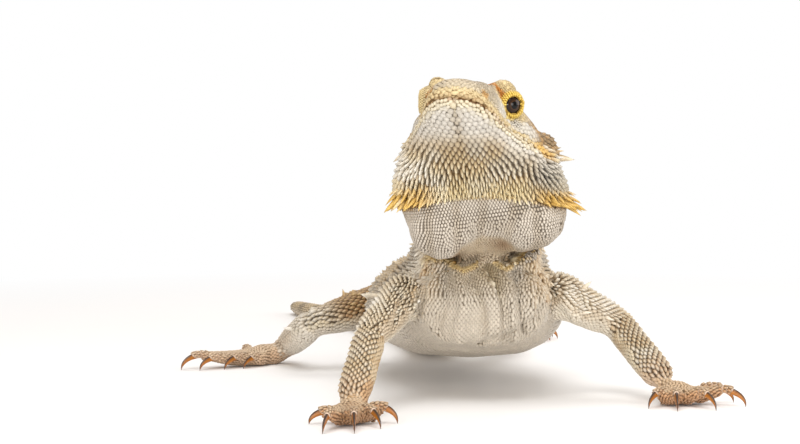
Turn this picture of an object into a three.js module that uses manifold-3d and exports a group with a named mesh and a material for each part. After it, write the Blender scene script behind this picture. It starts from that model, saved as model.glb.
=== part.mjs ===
// A life-size bearded dragon (Pogona vitticeps), propped up on its front legs with its head raised and its
// beard hanging. Millimetres, +Z up, the animal facing -Y. Every body part is one closed solid of its own,
// and neighbours keep a thin gap. The model stands on flats at Z = 0 under the palms, soles, claws and tail.
import * as THREE from "three";
import { mergeVertices } from "three/addons/utils/BufferGeometryUtils.js";
import Module from "manifold-3d";

const wasm = await Module();
wasm.setup();

// ---------------------------------------------------------------- driving dimensions
const GAP = 0.3; // clearance between neighbouring solids
const HALF_SPACE = 1000; // side of the blocks that cut along a plane
const FLAT_Z = 0; // the level that the animal stands on

// The head's own frame: forward along the snout, left, up; its origin lies midway between the jaw hinges.
const HEAD_ORIGIN = [25.1, 27, 79.2];
const HEAD_YAW = 14; // degrees, towards the animal's right
const HEAD_PITCH = 32.5; // degrees, snout up
const HEAD_ROLL = 2.5; // degrees, right side up
const SNOUT_LENGTH = 42; // jaw hinge to snout tip
const EYE_RADIUS = 4.9;
const EYE_AT = [21, 11.8, 8.9]; // forward, left, up
const GAZE = [0.6, 0.7, -0.38]; // the way the left eye looks: forward, left, up
// The mouth line in side view, as [forward, up]: it dips behind the snout and rises to the jaw's corner.
const MOUTH_LINE = [
  [60, 0.4], [43, -0.5], [36, -1.5], [28, -1.9], [18, -1.7], [9, -0.8], [2, 0.8], [-40, 5],
];

// Joints of the legs, each as [right, left]; the paws' centres lie over their pads.
const SHOULDERS = [[3, 41, 36], [49, 43, 36]];
const ELBOWS = [[-9.4, 15.5, 23.8], [73, 61, 23.5]];
const WRISTS = [[-14.2, -11, 8.4], [85, 37, 8.2]];
const PALMS = [[-14.5, -16, 3.8], [89.5, 30, 3.8]];
const HIPS = [[5, 139, 27], [27, 144, 24]];
const KNEES = [[-31.6, 119, 18], [42, 178, 14.6]];
const ANKLES = [[-41.6, 151, 6.6], [37, 210, 6.8]];
const SOLES = [[-49, 146.5, 3.7], [42, 217, 3.7]];

// Each digit is [heading in degrees from -Y towards +X, reach from the paw's centre to the claw's tip,
// height of the toe's end, from which the claw arches down], digit 1 first.
const HAND_DIGITS = [
  [[82, 13.8, 5.3], [31, 16.8, 5.2], [2, 24.5, 5.6], [-18.5, 27, 5.2], [-75, 13.8, 4]],
  [[-37.5, 16, 4.8], [-3.5, 19.4, 5.2], [32.6, 21, 5.2], [70.7, 23.4, 5.3], [100.5, 19.9, 5.3]],
];
const FOOT_DIGITS = [
  [[-27, 17.6, 3.8], [-39.5, 23.2, 4.1], [-48, 31.6, 4.3], [-57.5, 36, 5], [-152, 23, 4.4]],
  [[115, 17.6, 3.8], [127.5, 23.2, 4.1], [136, 31.6, 4.3], [145.5, 36, 5], [240, 23, 4.4]],
];
const CLAW_LENGTH = 7.4; // how far a claw reaches beyond its toe

// ---------------------------------------------------------------- solids
const vector = (p) => new THREE.Vector3(...p);

// A closed geometry as a solid, its shared corners merged.
function solidOf(geometry) {
  const bare = geometry.clone();
  bare.deleteAttribute("normal");
  bare.deleteAttribute("uv");
  const merged = mergeVertices(bare, 1e-4);
  return new wasm.Manifold(
    new wasm.Mesh({
      numProp: 3,
      vertProperties: merged.getAttribute("position").array,
      triVerts: new Uint32Array(merged.index.array),
    }),
  );
}

// A solid as a geometry again.
function geometryOf(solid) {
  const mesh = solid.getMesh();
  return new THREE.BufferGeometry()
    .setAttribute("position", new THREE.BufferAttribute(new Float32Array(mesh.vertProperties), 3))
    .setIndex(new THREE.BufferAttribute(new Uint32Array(mesh.triVerts), 1));
}

const joined = (solids) => solids.reduce((whole, next) => whole.add(next));

// The largest of the bodies that a cut leaves.
function mainBody(solid) {
  return solid.decompose().sort((a, b) => b.volume() - a.volume())[0];
}

// Linear reading of one named size along the stations of a form.
function sizeAt(stations, name, share) {
  const place = share * (stations.length - 1);
  const before = Math.min(Math.floor(place), stations.length - 2);
  const eased = THREE.MathUtils.smoothstep(place - before, 0, 1);
  return THREE.MathUtils.lerp(stations[before][name], stations[before + 1][name], eased);
}

// A rounded form swept along a smooth line through its stations. Each station is
// { at: [x, y, z], side, up, down }: its centre, its half width and its reach on the back and belly sides.
// `dorsal` is the direction of its back, `caps` how long its round ends are as a share of its length, and
// `belly` how pointed (over 1) or square (under 1) the belly side of its section is. `axis`, if given, is
// the direction that all its sections face; otherwise they face along the line. The result is a function
// of how much the form is grown.
function form(stations, options = {}) {
  const { dorsal = [0, 0, 1], around = 12, along = 8, caps = [0.1, 0.1], belly = 1, axis } = options;
  const line = new THREE.CatmullRomCurve3(stations.map((s) => vector(s.at)), false, "centripetal");
  const back = vector(dorsal).normalize();
  return (grow = 0) => {
    const shape = new THREE.SphereGeometry(1, around, along);
    const position = shape.getAttribute("position");
    for (let row = 0; row <= along; row++) {
      const share = (1 - Math.cos((Math.PI * row) / along)) / 2;
      const centre = line.getPoint(share);
      const tangent = axis ? vector(axis) : line.getTangent(share);
      const side = new THREE.Vector3().crossVectors(tangent, back).normalize();
      const up = new THREE.Vector3().crossVectors(side, tangent).normalize();
      const fromStart = Math.min(share / caps[0], 1);
      const fromEnd = Math.min((1 - share) / caps[1], 1);
      const round = Math.sqrt(fromStart * (2 - fromStart)) * Math.sqrt(fromEnd * (2 - fromEnd));
      const atEnd = row === 0 || row === along;
      centre.addScaledVector(tangent, row === 0 ? -grow : row === along ? grow : 0);
      const reach = (name) => (atEnd ? 0 : sizeAt(stations, name, share) * round + grow);
      for (let column = 0; column <= around; column++) {
        const angle = (2 * Math.PI * (column % around)) / around;
        const power = Math.sin(angle) > 0 ? 1 : belly;
        const across = Math.sign(Math.cos(angle)) * Math.abs(Math.cos(angle)) ** power * reach("side");
        const lift = Math.sin(angle) * reach(Math.sin(angle) > 0 ? "up" : "down");
        const point = centre.clone().addScaledVector(side, across).addScaledVector(up, lift);
        position.setXYZ(row * (around + 1) + column, point.x, point.y, point.z);
      }
    }
    const made = solidOf(shape);
    return made.volume() > 0 ? made : solidOf(flipped(shape));
  };
}

// The same geometry with its faces turned round.
function flipped(geometry) {
  const turned = geometry.clone();
  const corners = turned.index.array;
  for (let i = 0; i < corners.length; i += 3) {
    [corners[i + 1], corners[i + 2]] = [corners[i + 2], corners[i + 1]];
  }
  return turned;
}

// An ellipsoid with half sizes [x, y, z], placed by a matrix.
function ellipsoid(radii, matrix, grow = 0, around = 10) {
  const shape = new THREE.SphereGeometry(1, around, Math.round(around * 0.6));
  shape.scale(radii[0] + grow, radii[1] + grow, radii[2] + grow);
  return solidOf(shape.applyMatrix4(matrix));
}

const placed = (at) => new THREE.Matrix4().makeTranslation(...at);

// A spine: a slender cone from a point on the hide along a direction.
function spine(at, towards, length, radius, grow = 0) {
  const direction = vector(towards).normalize();
  const cone = new THREE.ConeGeometry(radius + grow, length + 2 * grow, 4);
  cone.translate(0, length / 2 - radius, 0);
  cone.applyQuaternion(new THREE.Quaternion().setFromUnitVectors(new THREE.Vector3(0, 1, 0), direction));
  return solidOf(cone.translate(...at));
}

// Everything on one side of a plane through `at`, on the side that `towards` points to.
function halfSpace(at, towards) {
  const block = new THREE.BoxGeometry(HALF_SPACE, HALF_SPACE, HALF_SPACE).translate(0, 0, HALF_SPACE / 2);
  const direction = vector(towards).normalize();
  block.applyQuaternion(new THREE.Quaternion().setFromUnitVectors(new THREE.Vector3(0, 0, 1), direction));
  return solidOf(block.translate(...at));
}

const aboveFloor = halfSpace([0, 0, FLAT_Z], [0, 0, 1]);

// ---------------------------------------------------------------- the head's frame
const radians = THREE.MathUtils.degToRad;
const headTurn = new THREE.Matrix4()
  .makeRotationZ(radians(-HEAD_YAW))
  .multiply(new THREE.Matrix4().makeRotationX(radians(-HEAD_PITCH)))
  .multiply(new THREE.Matrix4().makeRotationY(radians(HEAD_ROLL)));
// Head coordinates are forward, left, up; the animal faces -Y, so forward is -Y and left is +X.
const headMatrix = new THREE.Matrix4().makeTranslation(...HEAD_ORIGIN).multiply(headTurn);
const inHead = ([forward, left, up]) =>
  new THREE.Vector3(left, -forward, up).applyMatrix4(headMatrix).toArray();
const alongHead = ([forward, left, up]) =>
  new THREE.Vector3(left, -forward, up).transformDirection(headTurn).toArray();
const headUp = alongHead([0, 0, 1]);
const headEllipsoid = (at, radii, grow = 0, around = 10) =>
  ellipsoid(
    [radii[1], radii[0], radii[2]],
    headMatrix.clone().multiply(placed([at[1], -at[0], at[2]])),
    grow,
    around,
  );

// One station of a form in the head: how far forward, the mouth-level offset and the half sizes.
const headStation = (forward, level, side, up, down) => ({
  at: inHead([forward, 0, level]),
  side,
  up,
  down,
});

// ---------------------------------------------------------------- forms
const skullForm = form(
  [
    headStation(-13, 2, 18, 10, 8),
    headStation(-5, 2, 21.8, 14, 8),
    headStation(5, 2, 22.8, 15.6, 6),
    headStation(14, 2, 20, 15.8, 4),
    headStation(22, 2, 16, 13.8, 4),
    headStation(30, 1.2, 13, 9.8, 4),
    headStation(37, 0.8, 9.9, 7, 4),
    headStation(SNOUT_LENGTH, 0.5, 6.4, 5.4, 3.4),
  ],
  { dorsal: headUp, around: 16, along: 13, caps: [0.12, 0.07] },
);
const WAYS = [-1, 1]; // the animal's right and left
const browForms = WAYS.map((way) => (grow) => headEllipsoid([20, way * 11, 12.4], [8, 4.8, 4.2], grow, 8));
const templeForms = WAYS.map((way) => (grow) => headEllipsoid([-3, way * 19.5, 5.6], [9, 6.2, 7.2], grow, 8));
const jawForm = form(
  [
    headStation(-7, -3, 18, 4, 8),
    headStation(0, -3, 23.8, 5, 10),
    headStation(9, -2, 24, 4, 9.6),
    headStation(18, -1, 20, 3, 8.6),
    headStation(27, -0.5, 16, 3, 7.2),
    headStation(34, 0, 12.4, 3, 5.4),
    headStation(SNOUT_LENGTH - 1, 0, 7.4, 3, 3.4),
  ],
  { dorsal: headUp, around: 16, along: 12, caps: [0.1, 0.09], belly: 0.9 },
);
// The throat hangs from the chin to the gular fold. It is swept downwards, so its "up" side is the back.
const beardForm = form(
  [
    { at: [25, 22, 88], side: 22, up: 11, down: 9 },
    { at: [25.2, 21.4, 81], side: 25.4, up: 14, down: 12.6 },
    { at: [25.2, 21.5, 74.5], side: 26.8, up: 15, down: 13.2 },
    { at: [26, 22, 69.5], side: 28.2, up: 15, down: 13 },
    { at: [27.4, 22.5, 62.5], side: 27, up: 15, down: 13 },
    { at: [27.2, 25, 55], side: 24, up: 13, down: 10.5 },
    { at: [26.8, 28, 48], side: 19, up: 9, down: 7.5 },
  ],
  { dorsal: [0, 1, 0], axis: [0, 0, -1], around: 16, along: 11, caps: [0.12, 0.12] },
);
// The two lobes of the throat pouch, with a recess between them.
const pouchForms = [
  (grow) => ellipsoid([12.2, 9.6, 11.2], placed([13.8, 17, 58.4]), grow, 9),
  (grow) => ellipsoid([13.4, 10, 10.8], placed([40.6, 18, 60.8]), grow, 9),
];
const neckForm = form(
  [
    { at: inHead([-1, 0, 2]), side: 20, up: 13, down: 12 },
    { at: [26.4, 43, 67], side: 18.5, up: 14, down: 14 },
    { at: [26.5, 55, 52.5], side: 21.5, up: 14.5, down: 18 },
    { at: [26, 76, 37.5], side: 26, up: 12.5, down: 18 },
  ],
  { dorsal: [0, 1, 0.6], around: 14, along: 9, caps: [0.1, 0.08] },
);
const trunkForm = form(
  [
    { at: [27, 21, 34], side: 15, up: 9, down: 11 },
    { at: [27, 32, 33.5], side: 22, up: 14, down: 15.5 },
    { at: [26.5, 47, 32], side: 26, up: 17, down: 17.5 },
    { at: [25, 67, 29], side: 31.5, up: 22, down: 18 },
    { at: [23, 89, 27], side: 35, up: 22.5, down: 18.5 },
    { at: [19.5, 112, 25], side: 32.5, up: 20.5, down: 17 },
    { at: [16, 134, 22], side: 24, up: 16.5, down: 14.5 },
    { at: [13.6, 152, 18.5], side: 15.5, up: 12.5, down: 12.5 },
    { at: [12.5, 166, 14.5], side: 11.5, up: 9.5, down: 10.5 },
  ],
  { around: 16, along: 15, caps: [0.08, 0.05], belly: 0.65 },
);
const tailForm = form(
  [
    { at: [13.5, 152, 17], side: 12, up: 9.5, down: 10.5 },
    { at: [12.2, 172, 11.6], side: 11, up: 9, down: 10.5 },
    { at: [9.5, 198, 8.6], side: 9.6, up: 7.8, down: 8.9 },
    { at: [3, 226, 7], side: 8, up: 6.8, down: 7.3 },
    { at: [-7, 254, 5.7], side: 6.7, up: 5.8, down: 6 },
    { at: [-21, 282, 4.7], side: 5.2, up: 4.7, down: 5 },
    { at: [-36, 314, 3.8], side: 3.8, up: 3.5, down: 4.1 },
    { at: [-48, 353, 3], side: 3, up: 2.8, down: 3.3 },
  ],
  { around: 12, along: 16, caps: [0.04, 0.03] },
);
const TAIL_CUTS = [226, 290]; // where the tail is divided, along Y

// A limb segment between two joints, reaching a little past both. `sizes` are its [side, up, down] half
// sizes at the near end, the muscle and the far end.
function limbForm(near, far, sizes, past) {
  const step = vector(far).sub(vector(near)).normalize();
  const start = vector(near).addScaledVector(step, -past[0]);
  const end = vector(far).addScaledVector(step, past[1]);
  const middle = start.clone().lerp(end, 0.4);
  const station = (at, [side, up, down]) => ({ at: at.toArray(), side, up, down });
  return form([station(start, sizes[0]), station(middle, sizes[1]), station(end, sizes[2])], {
    around: 11,
    along: 6,
    caps: [0.18, 0.12],
  });
}
const UPPER_ARM = [[8.2, 8.6, 9], [6.6, 6.4, 7.2], [5.6, 5.4, 5.6]];
const FOREARM = [[5.8, 5.6, 5.8], [5.4, 5.4, 5.6], [6, 5.4, 5]];
const THIGH = [[10, 8.6, 9.6], [8.2, 7, 7.8], [6, 5, 6]];
const SHANK = [[6, 5.2, 6], [5.5, 5.2, 6.2], [5, 5, 5]];

// One digit: a toe that leaves the paw beside its neighbours and rises a little at its end, and its curved
// claw.
function digit(palm, [heading, reach, height], root, thickness) {
  const turn = radians(heading);
  const tip = [palm[0] + Math.sin(turn) * reach, palm[1] - Math.cos(turn) * reach];
  const length = Math.hypot(tip[0] - root[0], tip[1] - root[1]);
  const out = (distance, up) => [
    THREE.MathUtils.lerp(root[0], tip[0], distance / length),
    THREE.MathUtils.lerp(root[1], tip[1], distance / length),
    up,
  ];
  const clawLength = Math.min(CLAW_LENGTH, length * 0.52);
  const toeLength = length - clawLength;
  const toe = form(
    [
      { at: out(0, 4.2), side: thickness * 1.1, up: thickness * 1.1, down: 4.4 },
      { at: out(toeLength * 0.45, 3.9), side: thickness, up: thickness, down: 4.3 },
      { at: out(toeLength * 0.8, height - 0.6), side: thickness * 0.94, up: thickness, down: 2.6 },
      { at: out(toeLength, height), side: thickness * 0.8, up: thickness * 0.84, down: 2.2 },
    ],
    { around: 6, along: 5, caps: [0.15, 0.15] },
  );
  const claw = form(
    [
      { at: out(toeLength - 1.6, height - 0.1), side: 1, up: 1.3, down: 1.5 },
      { at: out(toeLength + clawLength * 0.22, height + 0.5), side: 1, up: 1.3, down: 1.5 },
      { at: out(toeLength + clawLength * 0.68, height * 0.72), side: 0.8, up: 1.1, down: 1.2 },
      { at: out(length, 0), side: 0.35, up: 0.4, down: 0.4 },
    ],
    { around: 5, along: 5, caps: [0.16, 0.06] },
  );
  return { toe, claw };
}

// A hand or foot: the palm with its five toes joined to it. `inner` is +1 when its first digit lies
// towards +X of a paw that points to -Y.
function pawForm(palm, radii, heading, digits, thickness, inner) {
  const turn = radians(heading);
  const turned = placed(palm).multiply(new THREE.Matrix4().makeRotationZ(turn));
  const toes = digits.map((d, i) => {
    const beside = inner * (2 - i) * radii[0] * 0.36;
    const ahead = radii[1] * 0.3;
    const root = [
      palm[0] + Math.sin(turn) * ahead + Math.cos(turn) * beside,
      palm[1] - Math.cos(turn) * ahead + Math.sin(turn) * beside,
    ];
    return digit(palm, d, root, i === 2 || i === 3 ? thickness : thickness * 0.93);
  });
  const body = (grow) => joined([ellipsoid(radii, turned, grow, 9), ...toes.map((t) => t.toe(grow))]);
  return { body, claws: toes.map((t) => t.claw) };
}

// ---------------------------------------------------------------- spines that show in the outline
// A row of spines on a curve through three points, standing out from a centre.
function spineRow(points, centre, { count, length, radius, sweep, grow }) {
  const curve = new THREE.QuadraticBezierCurve3(
    vector(points[0]),
    vector(points[1]).multiplyScalar(2).sub(vector(points[0]).lerp(vector(points[2]), 0.5)),
    vector(points[2]),
  );
  const spines = [];
  for (let i = 0; i < count; i++) {
    const share = i / (count - 1);
    const at = curve.getPoint(share);
    const out = at.clone().sub(vector(centre)).normalize().add(vector(sweep)).toArray();
    const size = 0.72 + 0.5 * Math.abs(2 * share - 1);
    spines.push(spine(at.toArray(), out, length * size, radius, grow));
  }
  return spines;
}
const beardSpines = (grow) =>
  spineRow([[-0.6, 25.5, 67.8], [26.6, 9.4, 69.2], [53.4, 26, 69.6]], [27, 27, 70], {
    count: 15,
    length: 6,
    radius: 1.7,
    sweep: [0, 0, -0.6],
    grow,
  });
// The fringe along one flank, from the armpit to the groin.
const FLANK_SPINES = 9;
function flankSpines(way, grow) {
  return Array.from({ length: FLANK_SPINES }, (_, i) => {
    const share = i / (FLANK_SPINES - 1);
    const middle = 25.5 - 9 * share ** 1.3;
    const half = 27.5 + 6.5 * Math.sin(Math.PI * (0.12 + 0.88 * share)) - 9.5 * share ** 3;
    const root = [middle + way * half, 58 + 74 * share, 28.5 - 5 * share];
    return spine(root, [way, 0.55, 0.12], 5, 1.7, grow);
  });
}
// Short spines at the back corner of the jaw and over the ear, as [forward, left, up] in the head.
const CHEEK_SPINES = [[-3, 25, 4], [-7, 23, 7], [-9, 19, 10], [-10, 10, 11]];
function cheekSpines(way, grow) {
  return CHEEK_SPINES.map(([forward, left, up]) =>
    spine(inHead([forward, way * left, up]), alongHead([-0.6, way * 0.8, 0.2]), 6.4, 1.9, grow),
  );
}

// ---------------------------------------------------------------- parts, each cut clear of its neighbours
const parts = new Map();
const add = (name, solid, material) => parts.set(name, { solid: mainBody(solid), material });
const cut = (solid, ...forms) => forms.reduce((left, grown) => left.subtract(grown(GAP)), solid);

const hide = { cream: "hide_pale", tan: "hide_tan" };
// Everything above (+1) or below (-1) the mouth line, half a gap away from it.
function mouthSide(way) {
  const outline = MOUTH_LINE.map(([forward, up]) => new THREE.Vector2(forward, up + (way * GAP) / 2));
  outline.push(new THREE.Vector2(-40, way * 60), new THREE.Vector2(60, way * 60));
  const block = new THREE.ExtrudeGeometry(new THREE.Shape(outline), { depth: 120, bevelEnabled: false });
  // The outline's plane (forward, up) becomes the head's side view, and its depth runs from right to left.
  const basis = new THREE.Matrix4().makeBasis(
    new THREE.Vector3(0, -1, 0),
    new THREE.Vector3(0, 0, 1),
    new THREE.Vector3(-1, 0, 0),
  );
  block.translate(0, 0, -60).applyMatrix4(headMatrix.clone().multiply(basis));
  return solidOf(block);
}
const mouthUp = mouthSide(1);
const mouthDown = mouthSide(-1);
// A point on the axis of the eye on one side, a distance out along its gaze.
const alongGaze = (way, distance) => {
  const [forward, left, up] = EYE_AT.map((place, i) => place + distance * GAZE[i]);
  return [forward, way * left, up];
};
const eyeRadii = [EYE_RADIUS, EYE_RADIUS, EYE_RADIUS];
const eyeForms = WAYS.map((way) => (grow) => headEllipsoid(alongGaze(way, 0), eyeRadii, grow));
// Several forms, and both sides' spines, as one form.
const together = (forms, spines) => (grow) =>
  joined([...forms.map((f) => f(grow)), ...WAYS.flatMap((way) => spines(way, grow))]);
const skullWhole = together([skullForm, ...browForms, ...templeForms], cheekSpines);
const headWhole = (grow) => joined([skullWhole(grow), jawForm(grow)]);
const beardWhole = (grow) =>
  joined([beardForm(grow), ...pouchForms.map((f) => f(grow)), ...beardSpines(grow)]);
const trunkWhole = together([trunkForm], flankSpines);
// The hollow between eye and snout on each side, and the orbit's opening along the gaze.
const loreHollows = WAYS.map((way) => headEllipsoid([31, way * 16.6, 8.4], [8, 5.4, 5.4], 0, 8));
const orbits = WAYS.map((way) => headEllipsoid(alongGaze(way, 7), [4.4, 4.4, 4.4]));
const skull = skullWhole(0).subtract(joined([...loreHollows, ...orbits]));
add("head", cut(skull.intersect(mouthUp), ...eyeForms), hide.tan);
add("eye_right", eyeForms[0](0), "eye");
add("eye_left", eyeForms[1](0), "eye");
add("jaw", jawForm(0).intersect(mouthDown), hide.cream);
add("beard", cut(beardWhole(0), headWhole), hide.cream);
add("neck", cut(neckForm(0), headWhole, beardWhole), hide.tan);
add("trunk", cut(trunkWhole(0), neckForm, beardWhole), hide.tan);
const tail = cut(tailForm(0).intersect(aboveFloor), trunkForm);
const tailPieces = {
  tail_base: [-HALF_SPACE / 2, TAIL_CUTS[0] - GAP / 2],
  tail_middle: [TAIL_CUTS[0] + GAP / 2, TAIL_CUTS[1] - GAP / 2],
  tail_end: [TAIL_CUTS[1] + GAP / 2, HALF_SPACE / 2],
};
for (const [name, [from, to]] of Object.entries(tailPieces)) {
  const behind = halfSpace([0, from, 0], [0, 1, 0]);
  const ahead = halfSpace([0, to, 0], [0, -1, 0]);
  add(name, tail.intersect(behind).intersect(ahead), hide.tan);
}

const body = (grow) => joined([trunkWhole(grow), neckForm(grow), beardWhole(grow), tailForm(grow)]);
const SIDES = ["right", "left"];
SIDES.forEach((side, s) => {
  const limbs = [
    {
      joints: [SHOULDERS[s], ELBOWS[s], WRISTS[s], PALMS[s]],
      names: [`upper_arm_${side}`, `forearm_${side}`, `hand_${side}`],
      sizes: [UPPER_ARM, FOREARM],
      paw: { radii: [5.8, 6.6, 4.4], heading: [0, 32][s], digits: HAND_DIGITS[s], thickness: 2.35 },
    },
    {
      joints: [HIPS[s], KNEES[s], ANKLES[s], SOLES[s]],
      names: [`thigh_${side}`, `shank_${side}`, `foot_${side}`],
      sizes: [THIGH, SHANK],
      paw: { radii: [5.2, 10.2, 4.4], heading: [-52, 140][s], digits: FOOT_DIGITS[s], thickness: 2.3 },
    },
  ];
  for (const { joints, names, sizes, paw } of limbs) {
    const [root, bend, end, palm] = joints;
    const upper = limbForm(root, bend, sizes[0], [1, 3.5]);
    const lower = limbForm(bend, end, sizes[1], [3, 4]);
    const made = pawForm(palm, paw.radii, paw.heading, paw.digits, paw.thickness, [1, -1][s]);
    add(names[0], cut(upper(0), body), hide.tan);
    add(names[1], cut(lower(0), upper, body).intersect(aboveFloor), hide.tan);
    add(names[2], cut(made.body(0), lower, upper).intersect(aboveFloor), hide.tan);
    made.claws.forEach((claw, i) => {
      add(`claw_${names[2]}_${i + 1}`, cut(claw(0), made.body).intersect(aboveFloor), "claw");
    });
  }
});

// ---------------------------------------------------------------- materials and the finished group
const MATERIALS = {
  hide_pale: { color: "#d9d2c6", roughness: 0.62, metalness: 0 },
  hide_tan: { color: "#c9b493", roughness: 0.66, metalness: 0 },
  eye: { color: "#1c1411", roughness: 0.12, metalness: 0 },
  claw: { color: "#7a4a1e", roughness: 0.35, metalness: 0 },
};

const dragon = new THREE.Group();
for (const [name, { solid, material }] of parts) {
  const mesh = new THREE.Mesh(geometryOf(solid), new THREE.MeshStandardMaterial(MATERIALS[material]));
  mesh.name = name;
  dragon.add(mesh);
}
// The origin is the middle of the footprint, on the floor.
const box = new THREE.Box3().setFromObject(dragon);
const middle = box.getCenter(new THREE.Vector3());
dragon.position.set(-middle.x, -middle.y, -box.min.z);

export default dragon;
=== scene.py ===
"""A life-size bearded dragon, propped up on its front legs with its head raised and its beard hanging.

Metres, +Z up; the animal faces -Y and its left side lies towards +X. One skin stands for all the solids of
flesh and lies a little inside them. Horny scales and spines are modelled over it, and the eyes and claws are
pieces of their own.
"""
import math

import bpy
import numpy as np
from mathutils import Matrix, Vector
from mathutils.bvhtree import BVHTree
from mathutils.kdtree import KDTree


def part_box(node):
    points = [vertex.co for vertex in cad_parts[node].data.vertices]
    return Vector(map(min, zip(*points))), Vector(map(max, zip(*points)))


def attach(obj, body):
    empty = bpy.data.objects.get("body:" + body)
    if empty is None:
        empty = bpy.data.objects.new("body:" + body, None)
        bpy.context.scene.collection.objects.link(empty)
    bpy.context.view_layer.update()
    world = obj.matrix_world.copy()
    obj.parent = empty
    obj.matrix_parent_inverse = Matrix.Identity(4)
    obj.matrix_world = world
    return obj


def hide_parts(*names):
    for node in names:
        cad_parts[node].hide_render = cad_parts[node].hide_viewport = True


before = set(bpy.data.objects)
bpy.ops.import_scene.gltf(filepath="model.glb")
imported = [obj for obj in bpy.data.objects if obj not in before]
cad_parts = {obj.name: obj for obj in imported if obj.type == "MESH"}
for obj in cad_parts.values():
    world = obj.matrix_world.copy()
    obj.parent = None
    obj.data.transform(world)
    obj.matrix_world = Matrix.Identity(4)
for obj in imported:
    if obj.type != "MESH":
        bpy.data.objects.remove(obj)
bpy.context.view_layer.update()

MM = 0.001
chance = np.random.default_rng(7)

# ---------------------------------------------------------------- the animal's own measures, in millimetres
HEAD_YAW, HEAD_PITCH, HEAD_ROLL = 14.0, 32.5, 2.5  # degrees: to its right, snout up, right side up
HEAD_ORIGIN = np.array([25.1, 27, 79.2])  # between the jaw hinges
EYE_AT = np.array([21, 11.8, 8.9])  # forward, left, up in the head
GAZES = {1: (0.6, 0.7, -0.38), -1: (0.1, -0.98, -0.08)}  # the left eye looks ahead, the right aside
EYE_RADIUS = 4.8
MOUTH_LINE = [[-8, 1.6], [2, 0.8], [9, -0.8], [18, -1.7], [28, -1.9], [36, -1.5], [43, -0.5]]  # forward, up
NOSTRIL = (37.6, 9.0, 2.4)
EAR = (-6.5, -0.5)  # forward, up

AXES = {
    "trunk": [(27, 24, 34), (27, 34, 33.5), (26.5, 47, 32), (25, 67, 29), (23, 89, 27), (19.5, 112, 25),
              (16, 134, 22), (13.6, 152, 18.5), (12.8, 162, 15.5)],
    "tail": [(12.8, 160, 14), (12.2, 172, 11.6), (9.5, 198, 8.6), (3, 226, 7), (-7, 254, 5.7),
             (-21, 282, 4.7), (-36, 314, 3.8), (-47, 350, 3)],
    "neck": [(25.5, 30, 80), (26.4, 43, 67), (26.5, 55, 52.5), (26, 76, 37.5)],
    "beard": [(25.2, 21, 92), (25.2, 21.5, 78), (26, 22, 69.5), (27.2, 22.5, 60), (27, 25, 52)],
}
SIDES = ("right", "left")
# Shoulder, elbow, wrist and palm, and hip, knee, ankle and sole, of the right and left side.
ARMS = [[(3, 41, 36), (-9.4, 15.5, 23.8), (-14.2, -11, 8.4), (-14.5, -16, 3.8)],
        [(49, 43, 36), (73, 61, 23.5), (85, 37, 8.2), (89.5, 30, 3.8)]]
LEGS = [[(5, 139, 27), (-31.6, 119, 18), (-41.6, 151, 6.6), (-49, 146.5, 3.7)],
        [(27, 144, 24), (42, 178, 14.6), (37, 210, 6.8), (42, 217, 3.7)]]
PAWS = {"hand": ARMS, "foot": LEGS}
LIMB_PARTS = ("upper_arm", "forearm", "thigh", "shank")
TAIL_PARTS = ("tail_base", "tail_middle", "tail_end")
PAW_HEADINGS = {"hand": (0, 32), "foot": (-52, 140)}  # degrees


def head_axes():
    """The head's forward, left and up directions."""
    turn = (
        Matrix.Rotation(math.radians(-HEAD_YAW), 3, "Z")
        @ Matrix.Rotation(math.radians(-HEAD_PITCH), 3, "X")
        @ Matrix.Rotation(math.radians(HEAD_ROLL), 3, "Y")
    )
    return np.array([-turn.col[1], turn.col[0], turn.col[2]])


HEAD = head_axes()
EYES = [np.array(sum(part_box(f"eye_{side}"), Vector())) / 2 for side in SIDES]
# The measures above are taken in the animal's own axes; this is where their zero lies in the frame.
ZERO = sum(EYES) / 2 - (HEAD_ORIGIN + EYE_AT[0] * HEAD[0] + EYE_AT[2] * HEAD[2]) * MM


def place(points):
    """Points in the frame, in metres, from the animal's own millimetres."""
    return ZERO + np.asarray(points, float) * MM


def own(points):
    """The animal's own millimetres, from points in the frame."""
    return (np.asarray(points) - ZERO) / MM


def in_head(points):
    """Forward, left and up in the head, in millimetres, from points in the frame."""
    return (own(points) - HEAD_ORIGIN) @ HEAD.T


def from_head(heads):
    """Points in the frame, from their forward, left and up in the head."""
    return place(HEAD_ORIGIN + np.asarray(heads) @ HEAD)


# ---------------------------------------------------------------- small tools
def ramp(low, high, value):
    """0 below low, 1 above high, smooth between."""
    t = np.clip((np.asarray(value, float) - low) / (high - low), 0, 1)
    return t * t * (3 - 2 * t)


def hump(middle, width, value):
    """1 at the middle, falling off as a bell of that width."""
    return np.exp(-(((np.asarray(value, float) - middle) / width) ** 2))


def waves(value, length):
    """A sine whose crests lie that far apart."""
    return np.sin(value * 2 * np.pi / length)


def length_of(vectors):
    return np.linalg.norm(vectors, axis=-1)


def unit(vectors):
    return vectors / np.maximum(length_of(vectors), 1e-12)[..., None]


def run_along(points):
    """The length of a line up to each of its points."""
    return np.concatenate([[0], np.cumsum(length_of(np.diff(points, axis=0)))])


def between(at, stations, rows):
    """Rows of numbers given at stations, interpolated."""
    return np.stack([np.interp(at, stations, column) for column in rows.T], -1)


def along(stations, x):
    """Height at x of a line through stations of (x, height)."""
    return np.interp(x, *np.array(stations, float).T)


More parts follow.
